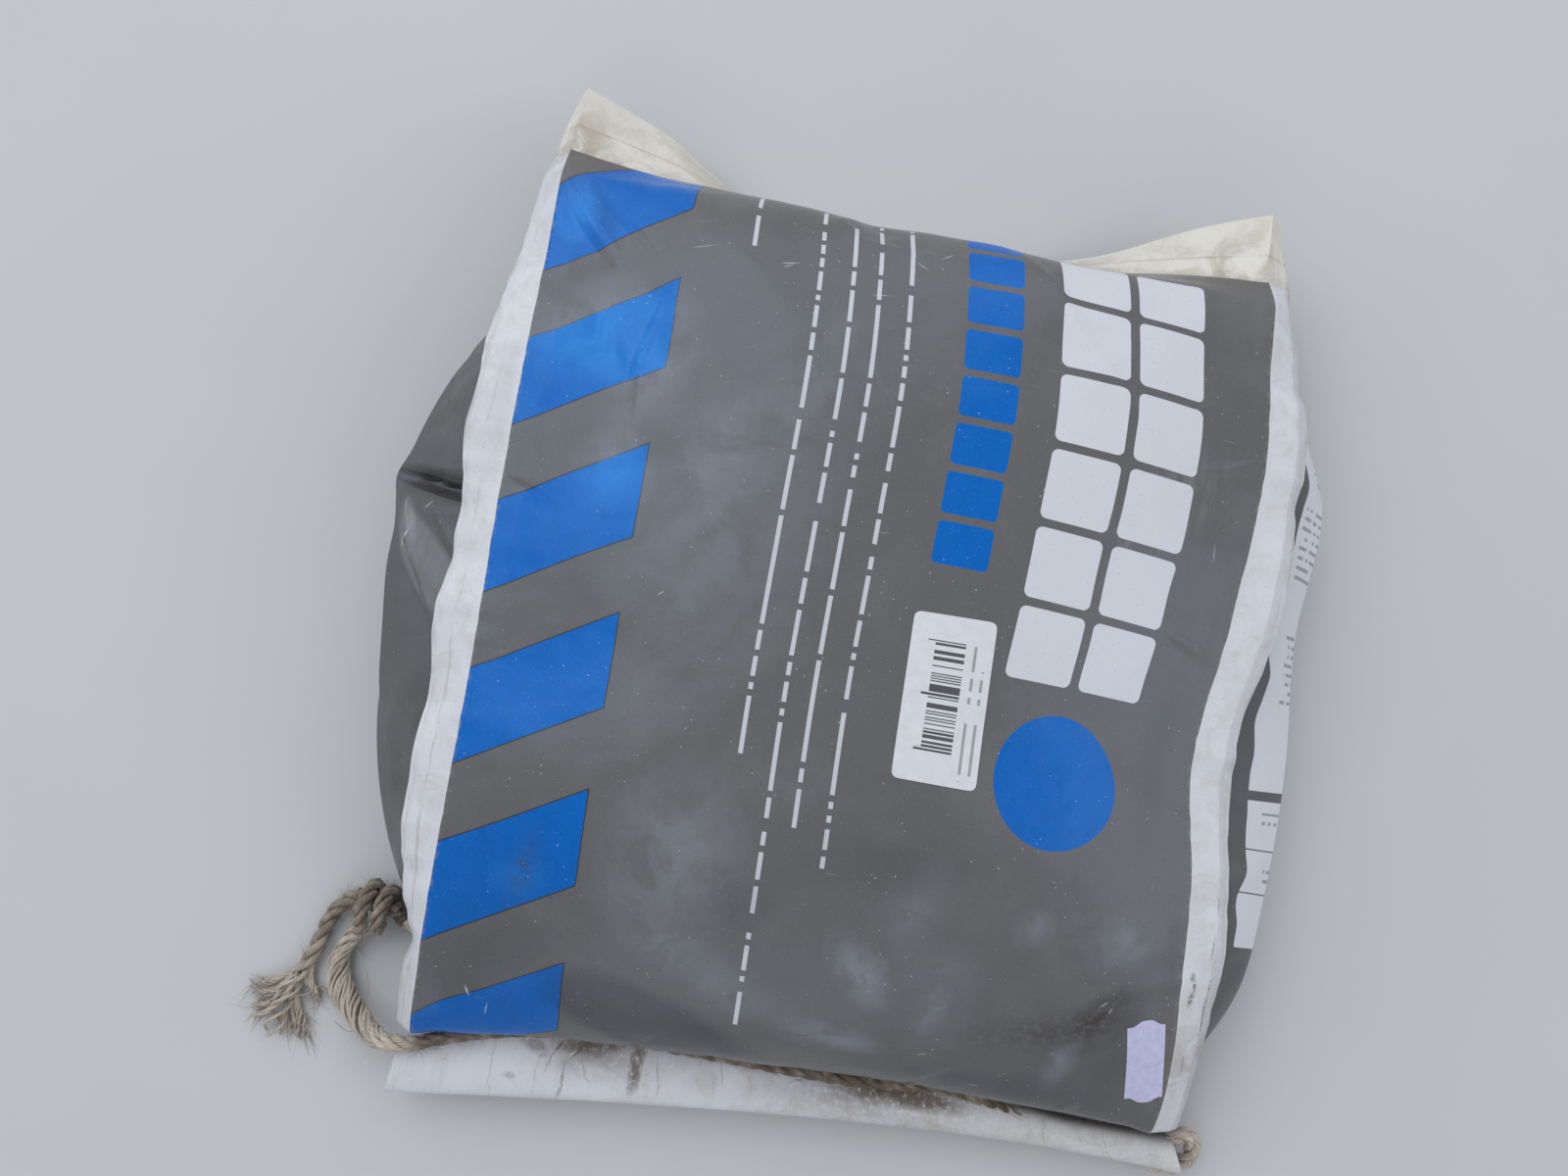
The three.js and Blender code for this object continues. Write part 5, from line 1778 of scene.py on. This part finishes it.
class BAG_OT_stickers(bpy.types.Operator):
    """Stick the two labels on the panel"""

    bl_idname = "bag.stickers"
    bl_label = "Stickers"

    def execute(self, context):
        settings = context.scene.bag_stickers
        mesh = bpy.data.objects["film_sack_printed"].data
        points, faces = [p.co.copy() for p in mesh.vertices], [list(f.vertices) for f in mesh.polygons]
        tree = BVHTree.FromPolygons(points, faces)
        thick, corner = settings.thickness / MM, settings.corner / MM

        half_x, half_y = BARCODE_SIZE[0] / 2, BARCODE_SIZE[1] / 2

        def round_corners(x, y):
            # corner cells are drawn in to the corner's arc
            over_x, over_y = abs(x) * half_x - (half_x - corner), abs(y) * half_y - (half_y - corner)
            if over_x > 0 and over_y > 0:
                share = max(over_x, over_y) / math.hypot(over_x, over_y)
                x = math.copysign((half_x - corner + over_x * share) / half_x, x)
                y = math.copysign((half_y - corner + over_y * share) / half_y, y)
            return x, y

        def wavy_ends(x, y):
            return x, y * (0.87 + 0.13 * math.exp(-(((x - 0.06) / 0.55) ** 4)))

        barcode = sticker("barcode_label_paper", BARCODE_AT, BARCODE_SIZE, round_corners, thick, tree)
        barcode.data.materials.append(barcode_finish(settings.white[:]))
        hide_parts("barcode_label")
        price = sticker("price_label_paper", PRICE_AT, PRICE_SIZE, wavy_ends, thick, tree)
        price.data.materials.append(price_finish(settings.lilac[:]))
        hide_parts("price_label")
        for piece in (barcode, price):
            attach(piece, "root")
        return {"FINISHED"}


class BAG_PT_tools(bpy.types.Panel):
    """Lists the bag's operators and settings"""

    bl_label = "Bag of grout"
    bl_space_type = "VIEW_3D"
    bl_region_type = "UI"
    bl_category = "Bag"

    def draw(self, context):
        for operator, group in OPERATORS:
            self.layout.operator(operator.bl_idname)
            settings = getattr(context.scene, group)
            for name in settings.__annotations__:
                self.layout.prop(settings, name)


OPERATORS = [
    (BAG_OT_stage, "bag_stage"), (BAG_OT_rope, "bag_rope"), (BAG_OT_sack, "bag_film"),
    (BAG_OT_hem, "bag_film"), (BAG_OT_stickers, "bag_stickers"),
]
GROUPS = {
    "bag_film": FilmSettings,
    "bag_rope": RopeSettings,
    "bag_stickers": StickerSettings,
    "bag_stage": StageSettings,
}


def register():
    for group in GROUPS.values():
        bpy.utils.register_class(group)
    for name, group in GROUPS.items():
        setattr(bpy.types.Scene, name, bpy.props.PointerProperty(type=group))
    for operator, _ in OPERATORS:
        bpy.utils.register_class(operator)
    bpy.utils.register_class(BAG_PT_tools)


def unregister():
    bpy.utils.unregister_class(BAG_PT_tools)
    for operator, _ in reversed(OPERATORS):
        bpy.utils.unregister_class(operator)
    for name, group in GROUPS.items():
        delattr(bpy.types.Scene, name)
        bpy.utils.unregister_class(group)


def corners(box):
    return [[float(c) for c in corner] for corner in box]


def main():
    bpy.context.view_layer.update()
    register()
    bpy.ops.bag.stage()
    bpy.ops.bag.rope()
    bpy.ops.bag.sack()
    bpy.ops.bag.hem()
    bpy.ops.bag.stickers()


if __name__ == "__main__":
    main()
